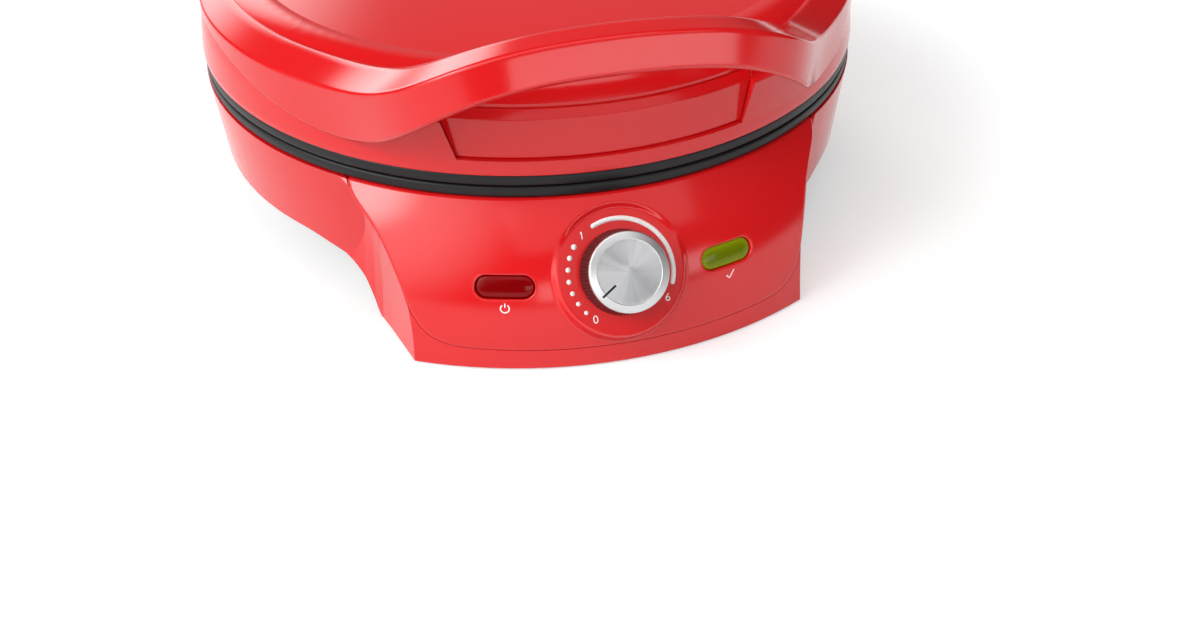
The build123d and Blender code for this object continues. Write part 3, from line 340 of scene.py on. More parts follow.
dress(plain_finish("gland_black", (0.02, 0.02, 0.02), (0.014, 0.014, 0.014), 0.55), "cord_gland")


# Lid handle: one thick moulding, a band that hugs the lid and rises into a free bar across the
# front. It is glossy red with rounded edges, and two screws from inside the lid hold its roots.
HANDLE = (
    (0.0, -175.0, 157.8, 0.0, 12.0, 155.7, 16.0, 139.5, 2.5, 141.0),
    (25.0, -174.9, 157.0, 0.0, 12.0, 155.0, 16.0, 139.2, 2.5, 140.7),
    (45.0, -173.0, 154.2, 4.0, 12.6, 152.6, 16.8, 136.8, 2.5, 138.0),
    (60.0, -169.0, 149.0, 10.0, 14.0, 148.3, 18.6, 131.6, 3.0, 133.5),
    (69.0, -162.5, 143.3, 22.0, 18.4, 142.0, 21.6, 123.8, 4.0, 126.0),
    (75.0, -154.5, 137.6, 34.0, 21.0, 134.9, 22.8, 113.8, 5.0, 117.0),
    (80.0, -146.5, 133.0, 43.0, 20.0, 128.0, 20.4, 105.6, 6.0, 110.0),
    (84.5, -139.0, 129.8, 48.0, 18.6, 122.8, 17.2, 97.8, 4.0, 104.0),
    (93.0, -127.5, 127.0, 48.0, 17.6, 118.8, 15.6, 92.6, 0.0, 104.0),
    (105.0, -110.5, 125.2, 47.0, 17.2, 115.8, 17.0, 90.4, 0.0, 104.0),
    (117.5, -94.5, 124.5, 51.5, 17.4, 114.4, 18.2, 92.0, 0.0, 104.0),
    (128.6, -78.2, 124.2, 58.7, 17.2, 113.7, 18.0, 97.0, 0.0, 104.0),
    (138.0, -59.8, 124.0, 66.6, 16.8, 113.4, 17.2, 102.5, 0.0, 106.0),
    (146.5, -34.5, 123.8, 76.7, 16.4, 113.2, 16.6, 105.5, 0.0, 108.0),
    (150.5, 0.0, 123.6, 90.0, 16.0, 113.0, 16.2, 106.5, 0.0, 109.0),
    (145.4, 39.0, 123.6, 105.0, 16.0, 113.0, 16.2, 106.5, 0.0, 109.0),
    (130.3, 75.2, 123.6, 120.0, 16.0, 113.0, 16.2, 106.5, 0.0, 109.0),
    (106.4, 106.4, 123.6, 135.0, 16.0, 113.0, 16.2, 106.5, 0.0, 109.0),
    (84.2, 124.8, 123.6, 146.0, 16.0, 113.0, 16.2, 106.5, 0.0, 109.0),
)
HANDLE_BEVEL = 2.2
HANDLE_LIP_BACK = 0.6 * HANDLE_BEVEL
HANDLE_EDGES = (2.8, 2.0, 1.4, 1.4, 1.4)
HANDLE_RINGS = 460
HANDLE_SETTLE = 9
ROOT_STATION = 7
ROOT_DEPTH = 0.45
MERGE = 0.001 * MM
ARC_STEPS = 7
SIDE_POINTS = (0.06, 0.35, 0.65, 0.94)
TRIM_LIMIT = 0.4


def add_piece(name, mesh, material, body, *nodes, slot=None):
    """Puts a finished mesh in the scene on its body, in place of the construction pieces named.

    The slot is not used.
    """
    mesh.materials.append(material)
    piece = bpy.data.objects.new(name, mesh)
    bpy.context.scene.collection.objects.link(piece)
    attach(piece, body)
    if nodes:
        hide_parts(*nodes)


def skin(name, grid, around_rows=False, around_columns=False, caps=False, uv=None):
    """A mesh over a grid of points (rows, columns, 3) in millimetres, each four neighbours a face.

    Rows or columns may run round and close on themselves, caps close the first and last rows,
    points that fall together are merged, and the faces are turned to face outwards.
    """
    rows, columns = grid.shape[:2]
    index = np.arange(rows * columns).reshape(rows, columns)
    down = np.vstack([index, index[:1]]) if around_rows else index
    full = np.hstack([down, down[:, :1]]) if around_columns else down
    faces = np.stack([full[:-1, :-1], full[:-1, 1:], full[1:, 1:], full[1:, :-1]], -1).reshape(-1, 4)
    sides = faces.tolist()
    if caps:
        sides += [index[0][::-1].tolist(), index[-1].tolist()]
    mesh = bpy.data.meshes.new(name)
    mesh.from_pydata((grid.reshape(-1, 3) * MM).tolist(), [], sides)
    if uv is not None:
        layer = mesh.uv_layers.new(name="map")
        corner = np.zeros(len(mesh.loops), np.int32)
        mesh.loops.foreach_get("vertex_index", corner)
        layer.data.foreach_set("uv", uv.reshape(-1, 2)[corner].astype(np.float32).ravel())
    work = bmesh.new()
    work.from_mesh(mesh)
    bmesh.ops.remove_doubles(work, verts=work.verts, dist=MERGE)
    bmesh.ops.dissolve_degenerate(work, edges=work.edges, dist=MERGE)
    if around_columns and work.calc_volume(signed=True) < 0:
        bmesh.ops.reverse_faces(work, faces=work.faces)
    work.to_mesh(mesh)
    work.free()
    mesh.shade_smooth()
    return mesh


def smooth_through(knots, points, places):
    """The natural cubic spline through the points, whose second derivatives solve one system."""
    step = np.diff(knots)
    count = len(knots)
    system = np.eye(count)
    load = np.zeros_like(points)
    slope = np.diff(points, axis=0) / step[:, None]
    inner = np.arange(1, count - 1)
    system[inner, inner - 1] = step[:-1]
    system[inner, inner] = 2 * (step[:-1] + step[1:])
    system[inner, inner + 1] = step[1:]
    load[1:-1] = 6 * np.diff(slope, axis=0)
    bend = np.linalg.solve(system, load)
    cell = np.clip(np.searchsorted(knots, places) - 1, 0, count - 2)
    wide = step[cell][:, None]
    right = (places - knots[cell])[:, None] / wide
    left = 1 - right
    return (left * points[cell] + right * points[cell + 1]
            + ((left ** 3 - left) * bend[cell] + (right ** 3 - right) * bend[cell + 1]) * wide ** 2 / 6)


def eased(corners, radii):
    """Sections (rows, corners, 3) with each corner turned into an arc of its radius.

    A corner is trimmed back along both sides by radius over the tangent of half its angle, and
    a parabola between the trimmed ends takes its place. Points near the arcs keep the sides flat.
    """
    count = corners.shape[1]
    share = np.linspace(0, 1, ARC_STEPS)[None, :, None]
    arcs = []
    for k, radius in enumerate(radii):
        tip = corners[:, k]
        back = corners[:, k - 1] - tip
        ahead = corners[:, (k + 1) % count] - tip
        back_l = np.linalg.norm(back, axis=1, keepdims=True)
        ahead_l = np.linalg.norm(ahead, axis=1, keepdims=True)
        angle = np.arccos(np.clip((back * ahead).sum(1, keepdims=True) / back_l / ahead_l, -1, 1))
        trim = np.minimum(radius / np.tan(angle / 2), TRIM_LIMIT * np.minimum(back_l, ahead_l))
        start = (tip + back / back_l * trim)[:, None]
        end = (tip + ahead / ahead_l * trim)[:, None]
        arcs.append((1 - share) ** 2 * start + 2 * share * (1 - share) * tip[:, None] + share ** 2 * end)
    runs = []
    for k, arc in enumerate(arcs):
        after = arcs[(k + 1) % count][:, :1]
        runs.append(arc)
        runs += [arc[:, -1:] + (after - arc[:, -1:]) * part for part in SIDE_POINTS]
    return np.concatenate(runs, axis=1)


def handle_sections():
    """The five corners of every station, left end to right end, as points (stations, 5, 3).

    A station has the place of the inner top edge and its turn from the front, then how far out
    and how high the ridge, the lower outer edge and the inner foot lie. HANDLE_EDGES gives the
    radii in the corners' order: top edge, ridge, lower outer edge, lip and foot. From
    ROOT_STATION on, where the band hugs the lid, the foot keeps only ROOT_DEPTH of its way in.
    """
    x, y, z, turn, out, ridge_z, low_out, low_z, in_out, in_z = np.array(HANDLE).T
    turn = np.radians(turn)

    def at_out(distance, height):
        return np.stack([x + distance * np.sin(turn), y - distance * np.cos(turn), height], -1)

    lip = at_out(low_out - HANDLE_LIP_BACK, low_z)
    foot = at_out(in_out, in_z)
    foot[ROOT_STATION:] = lip[ROOT_STATION:] + ROOT_DEPTH * (foot - lip)[ROOT_STATION:]
    low_edge = at_out(low_out, low_z + HANDLE_BEVEL)
    right = np.stack([at_out(0 * x, z), at_out(out, ridge_z), low_edge, lip, foot], 1)
    left = right[:0:-1] * np.array((-1, 1, 1))
    return np.concatenate([left, right])


def settled(sections, spread):
    """Each section averaged with its neighbours by a bell of this spread; the ends stay.

    Past its ends the run goes on as its own mirror image through the end point, out to three
    spreads, where the bell has died away.
    """
    reach = 3 * spread
    steps = np.arange(-reach, reach + 1)
    bell = np.exp(-(steps / spread) ** 2 / 2)
    padded = np.pad(sections, ((reach, reach), (0, 0), (0, 0)), mode="reflect", reflect_type="odd")
    weights = bell / bell.sum()
    return sum(w * padded[reach + k:reach + k + len(sections)] for k, w in zip(steps, weights))


stations = handle_sections()
ridge = stations[:, 1]
run = np.concatenate([[0.0], np.cumsum(np.linalg.norm(np.diff(ridge, axis=0), axis=1))])
places = np.linspace(0.0, run[-1], HANDLE_RINGS)
swept = np.stack([smooth_through(run, corner, places) for corner in stations.swapaxes(0, 1)], 1)
handle_rings = eased(settled(swept, HANDLE_SETTLE), HANDLE_EDGES)
handle_red = red_plastic("handle_red")
add_piece("handle_moulding", skin("handle_moulding", handle_rings, around_columns=True, caps=True),
          handle_red, "lid", "lid_handle", slot="red_shell")


# Pocket lining: the wall of the finger pocket under the handle, part of the lid's moulding. It
# stands a few millimetres in front of the shell's own wall, so only a narrow ledge stays below it.
LINING = ((162.9, 90.5), (165.9, 90.5), (163.0, 107.6), (160.3, 111.7), (159.3, 111.2))
LINING_EDGES = (0.3, 0.7, 1.6, 0.5, 0.3)
LINING_HALF_W = ((90.4, 64.45), (111.5, 71.25))
LINING_COLUMNS = 240


def lining_sections():
    """The five corners at evenly spaced widths: every corner keeps its own radius from the axis.

    LINING has each corner's radius and height, LINING_HALF_W the half width at two heights.
    """
    radius, height = np.array(LINING).T[:, None]
    half = np.interp(height, *np.array(LINING_HALF_W).T)
    across = np.linspace(-1, 1, LINING_COLUMNS)[:, None] * half
    return np.stack([across, -np.sqrt(radius ** 2 - across ** 2), height + 0 * across], -1)


lining_rings = eased(lining_sections(), LINING_EDGES)
add_piece("pocket_lining", skin("pocket_lining", lining_rings, around_columns=True, caps=True),
          handle_red, "lid", slot="red_shell")


# Plate bands: the turned outer edge of each coated plate, which stands out nearly flush with the
# red shells all round and closes to the thin dark gap between the plates.
BAND_R = 168.1
BAND_IN_R = 164.0
BAND_STEPS = 720
BAND_EDGE = ((0.0, 1.2), (0.12, 0.6), (0.45, 0.2), (1.0, 0.0))
PLATE_BANDS = (
    ("lower_plate_band", 72.3, 77.36, "base"),
    ("upper_plate_band", 78.04, 83.38, "lid"),
)


def turned_band(low, high):
    """A ring round the body's axis: its two outer edges are eased by the same small curve.

    BAND_EDGE has, from an edge inwards, how far a point lies along the band and how far back.
    """
    rising = [(BAND_R - back, low + up) for up, back in BAND_EDGE]
    falling = [(BAND_R - back, high - up) for up, back in reversed(BAND_EDGE)]
    radius, height = np.array([(BAND_IN_R, low), *rising, *falling, (BAND_IN_R, high)]).T[:, :, None]
    turn = np.linspace(0, 2 * pi, BAND_STEPS, endpoint=False)[None]
    return np.stack([radius * np.cos(turn), radius * np.sin(turn), height + 0 * turn], -1)


for name, low, high, body in PLATE_BANDS:
    band = skin(name, turned_band(low, high), around_rows=True, around_columns=True)
    add_piece(name, band, plate_black, body)


# Front panel: the face of the front leg, a moulding bowed both ways with a raised boss for the
# dial that flows out of it. It is let into the base shell against a ledge, edge to edge.
FACE_TOP = (168.6, 71.4)
FACE_MID = (189.1, 39.3)
FACE_LOW = (197.4, 9.0)
FACE_CORNER = (88.2, 17.9)
FACE_BOTTOM = ((0.0, 9.7), (42.0, 10.0), (68.5, 10.7), (79.0, 12.0), (86.0, 15.6), FACE_CORNER)
FACE_SIDE = (FACE_CORNER, (90.2, 21.0), (93.2, 28.0), (95.0, 35.0), (97.0, 42.0), (100.3, 52.0),
             (105.6, 61.0), (110.2, 68.0), (110.7, 71.35))
DIAL_PLACE = np.array((0.0, -188.3, 42.75))
DIAL_TILT = radians(34.7)
DIAL_OUT = np.array((0.0, -cos(DIAL_TILT), sin(DIAL_TILT)))
DIAL_DOWN = np.array((0.0, -sin(DIAL_TILT), -cos(DIAL_TILT)))
DIAL_LEFT = np.array((-1.0, 0.0, 0.0))
BOSS_FLAT_R = 28.2
BOSS_FOOT_R = 31.4
WINDOW_TURN = radians(15.7)
WINDOW_L = 26.4
WINDOW_W = 10.6
WINDOW_SINK = 3.2
WINDOW_RIM = 0.6
PANEL_COLUMNS = 520
PANEL_ROWS = 150
PANEL_T = 2.5
PANEL_PROUD = 0.7
PANEL_ROLL = 2.0
ROLL_SHARE = 0.6


def circle_through(a, b, c):
    """Centre and radius of the circle through three points, where two bisectors meet."""
    a, b, c = (np.array(p) for p in (a, b, c))
    sides = 2 * np.array((b - a, c - a))
    centre = np.linalg.solve(sides, (b @ b - a @ a, c @ c - a @ a))
    return centre, hypot(*(a - centre))


(FACE_CENTRE_R, FACE_CENTRE_Z), FACE_ARC = circle_through(FACE_TOP, FACE_MID, FACE_LOW)


def on_face(turn, rise, out=0.0):
    """A point of the leg's face, or of the same face moved out along its normal.

    The first angle turns round the body's axis, the second goes up the face's own arc, which
    passes through FACE_TOP, FACE_MID and FACE_LOW as radius and height.
    """
    reach = FACE_CENTRE_R + (FACE_ARC + out) * np.cos(rise)
    height = FACE_CENTRE_Z + (FACE_ARC + out) * np.sin(rise)
    return np.stack([reach * np.sin(turn), -reach * np.cos(turn), height], -1)


def on_panel(turn, rise, out=0.0):
    """A point this far off the moulding's own surface, which stands a little proud of the leg."""
    return on_face(turn, rise, out + PANEL_PROUD)


def face_angles(x, z):
    """The two angles of the face point that is seen at this width and height from the front."""
    rise = np.arcsin((z - FACE_CENTRE_Z) / FACE_ARC)
    return np.arcsin(x / (FACE_CENTRE_R + FACE_ARC * np.cos(rise))), rise


WINDOW_RISE = face_angles(0.0, FACE_MID[1])[1]


def along_outline(points, count):
    """Evenly spaced points on the natural spline through an outline's points."""
    points = np.array(points)
    run = np.concatenate([[0.0], np.cumsum(np.linalg.norm(np.diff(points, axis=0), axis=1))])
    return smooth_through(run, points, np.linspace(0, run[-1], count))


def from_window(turn, rise, side):
    """Distance outside a window's edge: a stadium's, measured along the face."""
    along = np.abs((turn - side * WINDOW_TURN) * FACE_MID[0])
    up = (rise - WINDOW_RISE) * FACE_ARC
    return np.hypot(np.maximum(along - (WINDOW_L - WINDOW_W) / 2, 0), up) - WINDOW_W / 2


def panel_grid():
    """A patch between the four edges of the panel, with the boss raised and the windows sunk.

    FACE_BOTTOM and FACE_SIDE have the edges as width and height, seen from the front. The patch is
    the sum of the two ruled surfaces between facing edges less the one through the corners. Its rim
    is rolled back along a flattened quarter circle. A point near the dial slides along the dial's
    axis to the dial's plane, by a share that falls smoothly from 1 to 0 across the boss's foot.
    """
    half = along_outline(FACE_BOTTOM, PANEL_COLUMNS // 2)
    bottom = np.concatenate([half[:0:-1] * (-1, 1), half])
    right = along_outline(FACE_SIDE, PANEL_ROWS)
    left = right * (-1, 1)
    u = ((bottom[:, 0] / FACE_CORNER[0] + 1) / 2)[None, :, None]
    v = ((right[:, 1] - right[0, 1]) / (right[-1, 1] - right[0, 1]))[:, None, None]
    top = left[-1] + (right[-1] - left[-1]) * u[0]
    corners = ((1 - u) * (1 - v) * bottom[0] + u * (1 - v) * bottom[-1]
               + (1 - u) * v * left[-1] + u * v * right[-1])
    between = (1 - v) * bottom[None] + v * top[None]
    flat = between + (1 - u) * left[:, None] + u * right[:, None] - corners
    turn, rise = face_angles(flat[..., 0], flat[..., 1])
    edge = np.concatenate([flat[0], flat[:, 0], flat[:, -1]])
    inset = np.array([np.sqrt(((row[:, None] - edge[None]) ** 2).sum(-1).min(1)) for row in flat])
    roll = np.clip(1 - inset / PANEL_ROLL, 0, 1)
    proud = PANEL_PROUD - PANEL_ROLL * (1 - np.sqrt(1 - roll ** 2)) * ROLL_SHARE
    face = on_face(turn, rise, proud)
    from_dial = face - DIAL_PLACE
    lift = -(from_dial @ DIAL_OUT)
    off_axis = np.linalg.norm(np.cross(from_dial, DIAL_OUT), axis=-1)
    share = np.clip((BOSS_FOOT_R - off_axis) / (BOSS_FOOT_R - BOSS_FLAT_R), 0, 1)
    share = share * share * (3 - 2 * share)
    for side in (-1, 1):
        proud = proud - WINDOW_SINK * (from_window(turn, rise, side) < WINDOW_RIM)
    outer = on_face(turn, rise, proud) + (lift * share)[..., None] * DIAL_OUT
    return outer, turn, rise


def rimmed(outer, turn, rise):
    """The patch with its edge turned back into the leg: level along the top, square elsewhere."""
    grid = np.pad(outer, ((1, 1), (1, 1), (0, 0)), mode="edge")
    deep = np.pad(on_face(turn, rise, -PANEL_T), ((1, 1), (1, 1), (0, 0)), mode="edge")
    inward = 1 - PANEL_T / FACE_TOP[0]
    level = outer[-1] * (inward, inward, 1)
    deep[-1] = np.pad(level, ((1, 1), (0, 0)), mode="edge")
    grid[0] = deep[0]
    grid[:, 0] = deep[:, 0]
    grid[:, -1] = deep[:, -1]
    grid[-1] = deep[-1]
    return grid


panel_red = red_plastic("panel_red")
add_piece("panel_moulding", skin("panel_moulding", rimmed(*panel_grid())), panel_red, "base",
          "front_panel", slot="red_shell")


# Indicator windows: a clear tinted lens with rounded edges in each, sunk into a lip of the panel.
# The left one is dark red and the right one olive green, and neither lamp is lit.
LENS_PROFILE = ((0.0, -3.4), (0.0, -2.6), (0.0, -2.0), (0.12, -1.6), (0.40, -1.25), (0.80, -1.0),
                (1.3, -0.84), (2.2, -0.72), (3.6, -0.64), (5.3, -0.6))
LIP_PROFILE = ((-1.25, -0.30), (-1.2, 0.02), (-0.9, 0.025), (-0.62, -0.01), (-0.38, -0.12),
               (-0.2, -0.35), (-0.12, -0.8), (-0.1, -2.8), (-1.2, -2.8))
STADIUM_STEPS = 160
STADIUM_SWAY = 1.6
LENS_IOR = 1.27
LENS_ROUGH = (0.05, 0.04)
LENS_PATCHES = 260.0
LENS_CLOUDS = (0.8, 0.4)
RIM_FALL = 1.5
# Each lens has a deep tint and a brighter colour painted at its edge as gathered light.
LENSES = (
    ("power", -1, (0.19, 0.0006, 0.0015), (0.30, 0.001, 0.003), "lens_red"),
    ("ready", 1, (0.12, 0.16, 0.001), (0.60, 0.70, 0.010), "lens_green"),
)


def stadium(profile, side):
    """A section carried round a stadium: each profile point is an inset and a height.

    The middle line sways along the window's axis as a cosine cut off at its ends. Half a width
    from it lies the outline, straight up or down while the middle moves, and in a direction that
    turns evenly through the half circle while it waits at an end.
    """
    t = np.linspace(0, 2 * pi, STADIUM_STEPS, endpoint=False)
    sway = np.cos(t) * STADIUM_SWAY
    middle = np.clip(sway, -1, 1) * (WINDOW_L - WINDOW_W) / 2
    at_right = np.cos(t) > 0
    past = np.where(at_right, (t + pi) % (2 * pi) - pi, t - pi)
    turning = np.where(at_right, 0.0, pi) + past / np.arccos(1 / STADIUM_SWAY) * pi / 2
    angle = np.where(np.abs(sway) >= 1, turning, np.sign(np.sin(t)) * pi / 2)
    inset, height = np.array(profile).T
    reach = (WINDOW_W / 2 - inset)[:, None]
    along = middle[None] + reach * np.cos(angle)[None]
    up = reach * np.sin(angle)[None]
    height = height[:, None] + 0 * along
    return on_panel(side * WINDOW_TURN + along / FACE_MID[0], WINDOW_RISE + up / FACE_ARC, height)


def lens_plastic(name, deep, glow):
    """Tinted clear plastic, dark in the middle, its colour brightened towards the rim as painted light."""
    recipe = Recipe(bpy.data.materials.new(name))
    middle = recipe.node("SeparateXYZ", {0: recipe.node("TexCoord", out="UV")}, out="Y")
    cloud = recipe.noise(LENS_PATCHES)
    # Painted light: towards the rim the colour turns to the brighter one, as light gathered in the edge.
    edge = (1.0 - middle) ** RIM_FALL * (cloud * LENS_CLOUDS[1] + LENS_CLOUDS[0])
    shader = recipe.node("BsdfPrincipled", {
        "Base Color": recipe.mix(edge, (*deep, 1.0), (*glow, 1.0)), "IOR": LENS_IOR,
        "Roughness": cloud * LENS_ROUGH[1] + LENS_ROUGH[0]})
    return recipe.output(shader)


for name, side, deep, glow, slot in LENSES:
    rows = stadium(LENS_PROFILE, side)
    steps, turns = np.meshgrid(*(np.linspace(0, 1, count) for count in rows.shape[:2]), indexing="ij")
    window = skin(name + "_window", rows, around_columns=True, caps=True, uv=np.stack([turns, steps], -1))
    add_piece(name + "_window", window, lens_plastic(name + "_tint", deep, glow), "base",
              name + "_lens", slot=slot)
    lip = skin(name + "_lip", stadium(LIP_PROFILE, side), around_rows=True, around_columns=True)
    add_piece(name + "_lip", lip, panel_red, "base", slot="red_shell")


# Dial markings: white ink, pad-printed on the boss: a nought, seven dots that grow, and a band
# from low to high with plain numbers at its ends. The film stands a hair proud of the plastic.
INK_T = 0.06
MARK_R = 23.8
DOT_ANGLES = (49.4, 62.2, 74.8, 87.5, 100.3, 112.8, 125.5)
DOT_WIDTHS = (1.9, 2.5)
DOT_HALF = 0.501
MARK_BAND_W = 2.1
MARK_BAND_ANGLES = (153.5, 291.5)
STROKE_W = 0.50
DIGIT_H = 3.3
NOUGHT_ANGLE = 37.0
LOW_ANGLE = 140.0
HIGH_ANGLE = 306.0
TAIL_STEPS = 7
STROKE_STEPS = 24
INK_WHITE = (0.90, 0.84, 0.83, 1.0)
INK_PALE = (0.96, 0.93, 0.92, 1.0)
INK_ROUGH = (0.35, 0.1)
INK_PATCHES = 1500.0


def on_dial(radius, angle, out=0.0):
    """A point over the dial's plane, its angle clockwise from straight down."""
    a = np.radians(angle)
    way = np.cos(a)[..., None] * DIAL_DOWN + np.sin(a)[..., None] * DIAL_LEFT
    return DIAL_PLACE + np.asarray(radius)[..., None] * way + np.asarray(out)[..., None] * DIAL_OUT


def stroke(path, width, place):
    """A film of ink along a flat path: a ribbon whose width closes as a half circle at both ends.

    At a distance d from an end that is under half the width, the half width is the square root
    of d times the width less d squared. place() puts flat points and heights on the object.
    """
    path = np.array(path, float)
    run = np.concatenate([[0.0], np.cumsum(np.linalg.norm(np.diff(path, axis=0), axis=1))])
    tail = width / 2 * (1 - np.cos(np.linspace(0, pi / 2, TAIL_STEPS)))
    straight = np.linspace(width / 2, run[-1] - width / 2, max(STROKE_STEPS, len(path)))
    s = np.concatenate([tail, straight[1:-1], run[-1] - tail[::-1]])
    line = np.stack([np.interp(s, run, path[:, k]) for k in (0, 1)], -1)
    way = np.gradient(line, s, axis=0)
    way /= np.linalg.norm(way, axis=1, keepdims=True)
    normal = np.stack([-way[:, 1], way[:, 0]], -1)
    end = np.minimum(np.minimum(s, run[-1] - s), width / 2)
    half = np.sqrt(np.maximum(end * width - end ** 2, 0))
    across = np.array((-1.0, -1.0, 1.0, 1.0))
    height = np.array((-INK_T, INK_T, INK_T, -INK_T))
    flat = line[:, None] + normal[:, None] * half[:, None, None] * across[None, :, None]
    return place(flat[..., 0], flat[..., 1], height[None] + 0 * flat[..., 0])


def dial_place(x, y, out):
    """Flat coordinates on the dial: x towards its right, y towards its top."""
    return DIAL_PLACE - x[..., None] * DIAL_LEFT - y[..., None] * DIAL_DOWN + out[..., None] * DIAL_OUT


def dial_arc(angles, steps=90):
    """Flat points on the ring of marks between two angles clockwise from straight down."""
    a = np.radians(np.linspace(*angles, steps))
    return np.stack([-MARK_R * np.sin(a), -MARK_R * np.cos(a)], -1)


def digit(shape, angle):
    """A number's line, upright and 2 high as it is given, at its size and place on the ring."""
    a = radians(angle)
    middle = np.array((-MARK_R * sin(a), -MARK_R * cos(a)))
    return np.array(shape) * DIGIT_H / 2 + middle


def loop(wide, tall, start, end, steps=40, centre=(0.0, 0.0)):
    """Points on an ellipse of these half axes between two angles anticlockwise from the right."""
    t = np.radians(np.linspace(start, end, steps))
    return np.stack([centre[0] + wide * np.cos(t), centre[1] + tall * np.sin(t)], -1)


def white_ink():
    """Pad-printing ink: off-white, half matt, with a very fine unevenness in the film."""
    recipe = Recipe(bpy.data.materials.new("white_ink"))
    film = recipe.noise(INK_PATCHES)
    shader = recipe.node("BsdfPrincipled", {
        "Base Color": recipe.mix(film, INK_WHITE, INK_PALE),
        "Roughness": film * INK_ROUGH[1] + INK_ROUGH[0]})
    return recipe.output(shader)


def print_line(name, path, width, place):
    """Adds one printed line as a piece of its own."""
    film = skin(name, stroke(path, width, place), around_columns=True, caps=True)
    add_piece(name, film, ink, "base")


NOUGHT = loop(0.55, 0.95, 90, 450)
ONE = ((-0.35, 0.62), (0.05, 1.0), (0.05, -1.0))
SIX = np.concatenate([((0.42, 0.98), (0.05, 0.55), (-0.38, 0.05)),
                      loop(0.52, 0.48, 160, 520, centre=(0.06, -0.46))])
ink = white_ink()
print_line("mark_nought", digit(NOUGHT, NOUGHT_ANGLE), STROKE_W, dial_place)
print_line("mark_low", digit(ONE, LOW_ANGLE), STROKE_W, dial_place)
print_line("mark_high", digit(SIX, HIGH_ANGLE), STROKE_W, dial_place)
print_line("mark_band", dial_arc(MARK_BAND_ANGLES), MARK_BAND_W, dial_place)
for i, angle in enumerate(DOT_ANGLES):
    dot = DOT_WIDTHS[0] + (DOT_WIDTHS[1] - DOT_WIDTHS[0]) * i / (len(DOT_ANGLES) - 1)
    turn = degrees(dot * DOT_HALF / MARK_R)
    print_line(f"mark_dot_{i + 1}", dial_arc((angle - turn, angle + turn), steps=12), dot, dial_place)


# Signs under the windows: printed with the same white ink on the bowed panel, a power sign at the
# left and a tick at the right.
SIGN_DROP = 9.6
SIGN_R = 1.9
SIGN_STROKE_W = 0.55
SIGNS = (
    (-1, "sign_power_ring", loop(SIGN_R, SIGN_R, 125, 415)),
    (-1, "sign_power_bar", ((0.0, 2.5), (0.0, 0.4))),
    (1, "sign_ready_tick", ((-2.1, 0.0), (-0.7, -1.5), (2.2, 1.8))),
)


def under_window(side):
    """What puts flat points on the face below this side's window: x along the face, y up it."""
    def place(x, y, out):
        turn = side * WINDOW_TURN + x / FACE_MID[0]
        return on_panel(turn, WINDOW_RISE + (y - SIGN_DROP) / FACE_ARC, out)
    return place


for side, name, path in SIGNS:
    print_line(name, path, SIGN_STROKE_W, under_window(side))


# Knob: a spun aluminium cap with a polished chamfer, on a finely ribbed skirt that slides on the
# shaft; the skirt's dark red is a painted reflection of the red boss. A black line let into the cap points
# at the marks.
CAP_PROFILE = ((17.2, 14.0), (17.6, 14.02), (17.73, 14.15), (17.75, 14.4), (17.75, 15.2),
               (17.75, 16.0), (17.72, 16.2), (17.62, 16.33), (17.4, 16.42), (16.9, 16.56),
               (15.8, 16.83), (14.8, 17.08), (14.55, 17.14), (14.42, 17.15), (14.34, 17.10),
               (14.30, 17.0), (14.24, 16.97), (14.1, 16.96), (13.0, 16.96), (9.0, 16.96),
               (5.0, 16.96), (1.0, 16.96), (0.0, 16.96))
CAP_FACE_R = 14.3
CAP_MAP_SPAN = 40.0
CAP_MAP_MIDDLE = 0.5
CAP_STEPS = 256
ALUMINIUM = (0.56, 0.57, 0.59, 1.0)
ALUMINIUM_PAINTED_SHEEN = (0.98, 0.98, 0.99, 1.0)
CHAMFER_TONE = (0.66, 0.66, 0.67, 1.0)
CAP_ROUGH = (0.30, 0.04)
CHAMFER_ROUGHER = 0.12
CAP_ANISOTROPY = 0.8
RAY_SCALE = 2.6
RAY_DETAIL = 6.0
RING_COUNT = 900.0
RING_STRENGTH = 0.10
RING_DEPTH = 0.1 * MM
SKIRT_R = (19.3, 17.5)
SKIRT_H = (0.5, 14.0)
SKIRT_ROWS = ((0.0, 4.0, 0.0), (0.0, 0.6, 0.0), (0.02, 0.1, 0.6), (0.05, 0.0, 1.0), (0.5, 0.0, 1.0),
              (0.95, 0.0, 1.0), (0.98, 0.1, 0.6), (1.0, 0.6, 0.0), (1.0, 4.0, 0.0))
RIBS = 72
RIB_STEPS = 8
RIB_DEPTH = 0.70
POINTER_ANGLE = 55.5
POINTER_R = (8.4, 16.1)
POINTER_CREST = (14.2, 14.3, 14.36, 14.46, 14.6)
POINTER_STEPS = (12, 6)
POINTER_W = 1.0
POINTER_PROUD = 0.03
POINTER_DEEP = 0.3


def turned_on_dial(profile, steps):
    """A profile of radius and height turned about the dial's axis."""
    radius, out = np.array(profile).T
    angle = np.linspace(0, 360, steps, endpoint=False)
    return on_dial(radius[:, None] + 0 * angle, angle[None] + 0 * radius[:, None], out[:, None] + 0 * angle)


def flat_map(grid):
    """The dial's own flat coordinates as a UV map, 1 for every CAP_MAP_SPAN, its axis halfway."""
    from_dial = grid - DIAL_PLACE
    flat = np.stack([-(from_dial @ DIAL_LEFT), -(from_dial @ DIAL_DOWN)], -1)
    return flat / CAP_MAP_SPAN + CAP_MAP_MIDDLE


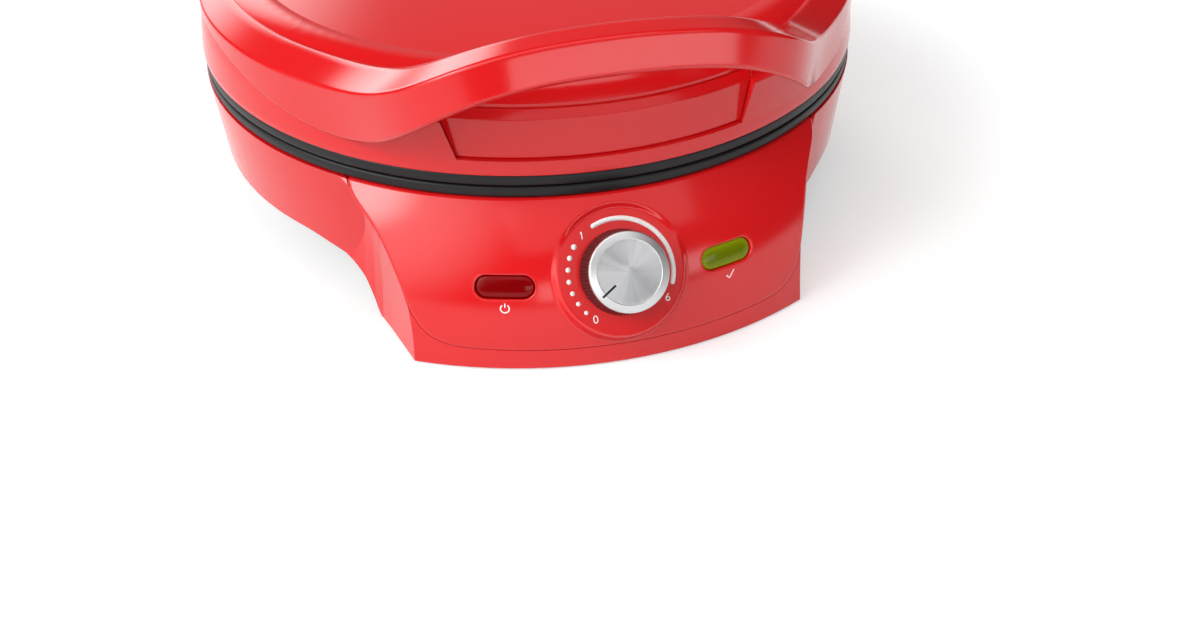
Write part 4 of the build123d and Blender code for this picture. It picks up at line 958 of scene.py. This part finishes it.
def spun_aluminium():
    """Metal turned on a lathe: fine rings in the bump and the gloss, streaks of painted sheen in the
    colour.

    The painted streaks are noise over the direction from the axis, the rings noise over the distance
    to it. The painted streaks and the rings' relief stop at the chamfer, which is plain and a little
    rougher.
    """
    recipe = Recipe(bpy.data.materials.new("knob_aluminium"))
    axis = (CAP_MAP_MIDDLE, CAP_MAP_MIDDLE, 0.0)
    flat = recipe.node("VectorMath", {0: recipe.node("TexCoord", out="UV"), 1: axis}, operation="SUBTRACT")
    radius = recipe.node("VectorMath", {0: flat}, out="Value", operation="LENGTH")
    ray = recipe.node("VectorMath", {0: flat}, operation="NORMALIZE")
    painted_rays = recipe.node("TexNoise", {"Vector": ray, "Scale": RAY_SCALE, "Detail": RAY_DETAIL})
    rings = recipe.node("TexNoise", {"W": radius * RING_COUNT, "Scale": 1.0}, noise_dimensions="1D")
    face = recipe.math("LESS_THAN", radius, CAP_FACE_R / CAP_MAP_SPAN)
    # Painted highlight: the streaks lighten the colour nearly to white, in place of spun metal's sheen.
    tone = recipe.mix(painted_rays, ALUMINIUM, ALUMINIUM_PAINTED_SHEEN)
    bump = recipe.node("Bump", {"Strength": RING_STRENGTH, "Distance": RING_DEPTH, "Height": rings * face})
    gloss = (1.0 - face) * CHAMFER_ROUGHER + (rings * CAP_ROUGH[1] + CAP_ROUGH[0])
    shader = recipe.node("BsdfPrincipled", {
        "Base Color": recipe.mix(face, CHAMFER_TONE, tone), "Metallic": 1.0, "Roughness": gloss,
        "Anisotropic": CAP_ANISOTROPY, "Normal": bump})
    return recipe.output(shader)


def skirt_grid():
    """A cone round the dial's axis whose radius dips between its ribs as the square of a cosine.

    Each row of SKIRT_ROWS has its share of the height, its inset and how much of a rib it shows.
    """
    share, inset, ribbed = np.array(SKIRT_ROWS).T[:, :, None]
    angle = np.linspace(0, 360, RIBS * RIB_STEPS, endpoint=False)[None]
    radius = SKIRT_R[0] + (SKIRT_R[1] - SKIRT_R[0]) * share - inset
    radius = radius - RIB_DEPTH * ribbed * np.cos(np.radians(angle) * RIBS / 2) ** 2
    out = SKIRT_H[0] + (SKIRT_H[1] - SKIRT_H[0]) * share + 0 * angle
    return on_dial(radius, angle + 0 * radius, out)


def pointer_grid():
    """A bar of constant width from the face over the crest, its top a hair above the cap's own."""
    cap_r, cap_out = np.array(CAP_PROFILE)[::-1].T
    inside = np.linspace(POINTER_R[0], POINTER_CREST[0], POINTER_STEPS[0])
    outside = np.linspace(POINTER_CREST[-1], POINTER_R[1], POINTER_STEPS[1])
    along = np.concatenate([inside, POINTER_CREST[1:-1], outside])
    across = np.array((-1.0, -1.0, 1.0, 1.0)) * POINTER_W / 2
    section = np.array((-POINTER_DEEP, POINTER_PROUD, POINTER_PROUD, -POINTER_DEEP))
    raised = np.interp(along, cap_r, cap_out)[:, None] + section[None]
    angle = POINTER_ANGLE + np.degrees(across[None] / along[:, None])
    return on_dial(along[:, None] + 0 * angle, angle, raised)


cap_rows = turned_on_dial(CAP_PROFILE, CAP_STEPS)
add_piece("cap_spun", skin("cap_spun", cap_rows, around_columns=True, uv=flat_map(cap_rows)),
          spun_aluminium(), "knob", "knob_cap", slot="knob_metal")
# Painted reflection: the skirt's dark red stands in for the red boss mirrored in its metal.
skirt_reflection_paint = plain_finish("skirt_painted_reflection", (0.055, 0.012, 0.012), (0.040, 0.008, 0.009), 0.30,
                          grain=500.0, strength=0.05)
add_piece("skirt_ribbed", skin("skirt_ribbed", skirt_grid(), around_columns=True, caps=True),
          skirt_reflection_paint, "knob", "knob_skirt", slot="knob_skirt")
pointer_black = plain_finish("pointer_black", (0.004, 0.004, 0.004), (0.002, 0.002, 0.002), 0.6)
add_piece("pointer_line", skin("pointer_line", pointer_grid(), around_columns=True, caps=True),
          pointer_black, "knob", "knob_pointer")

low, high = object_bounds()
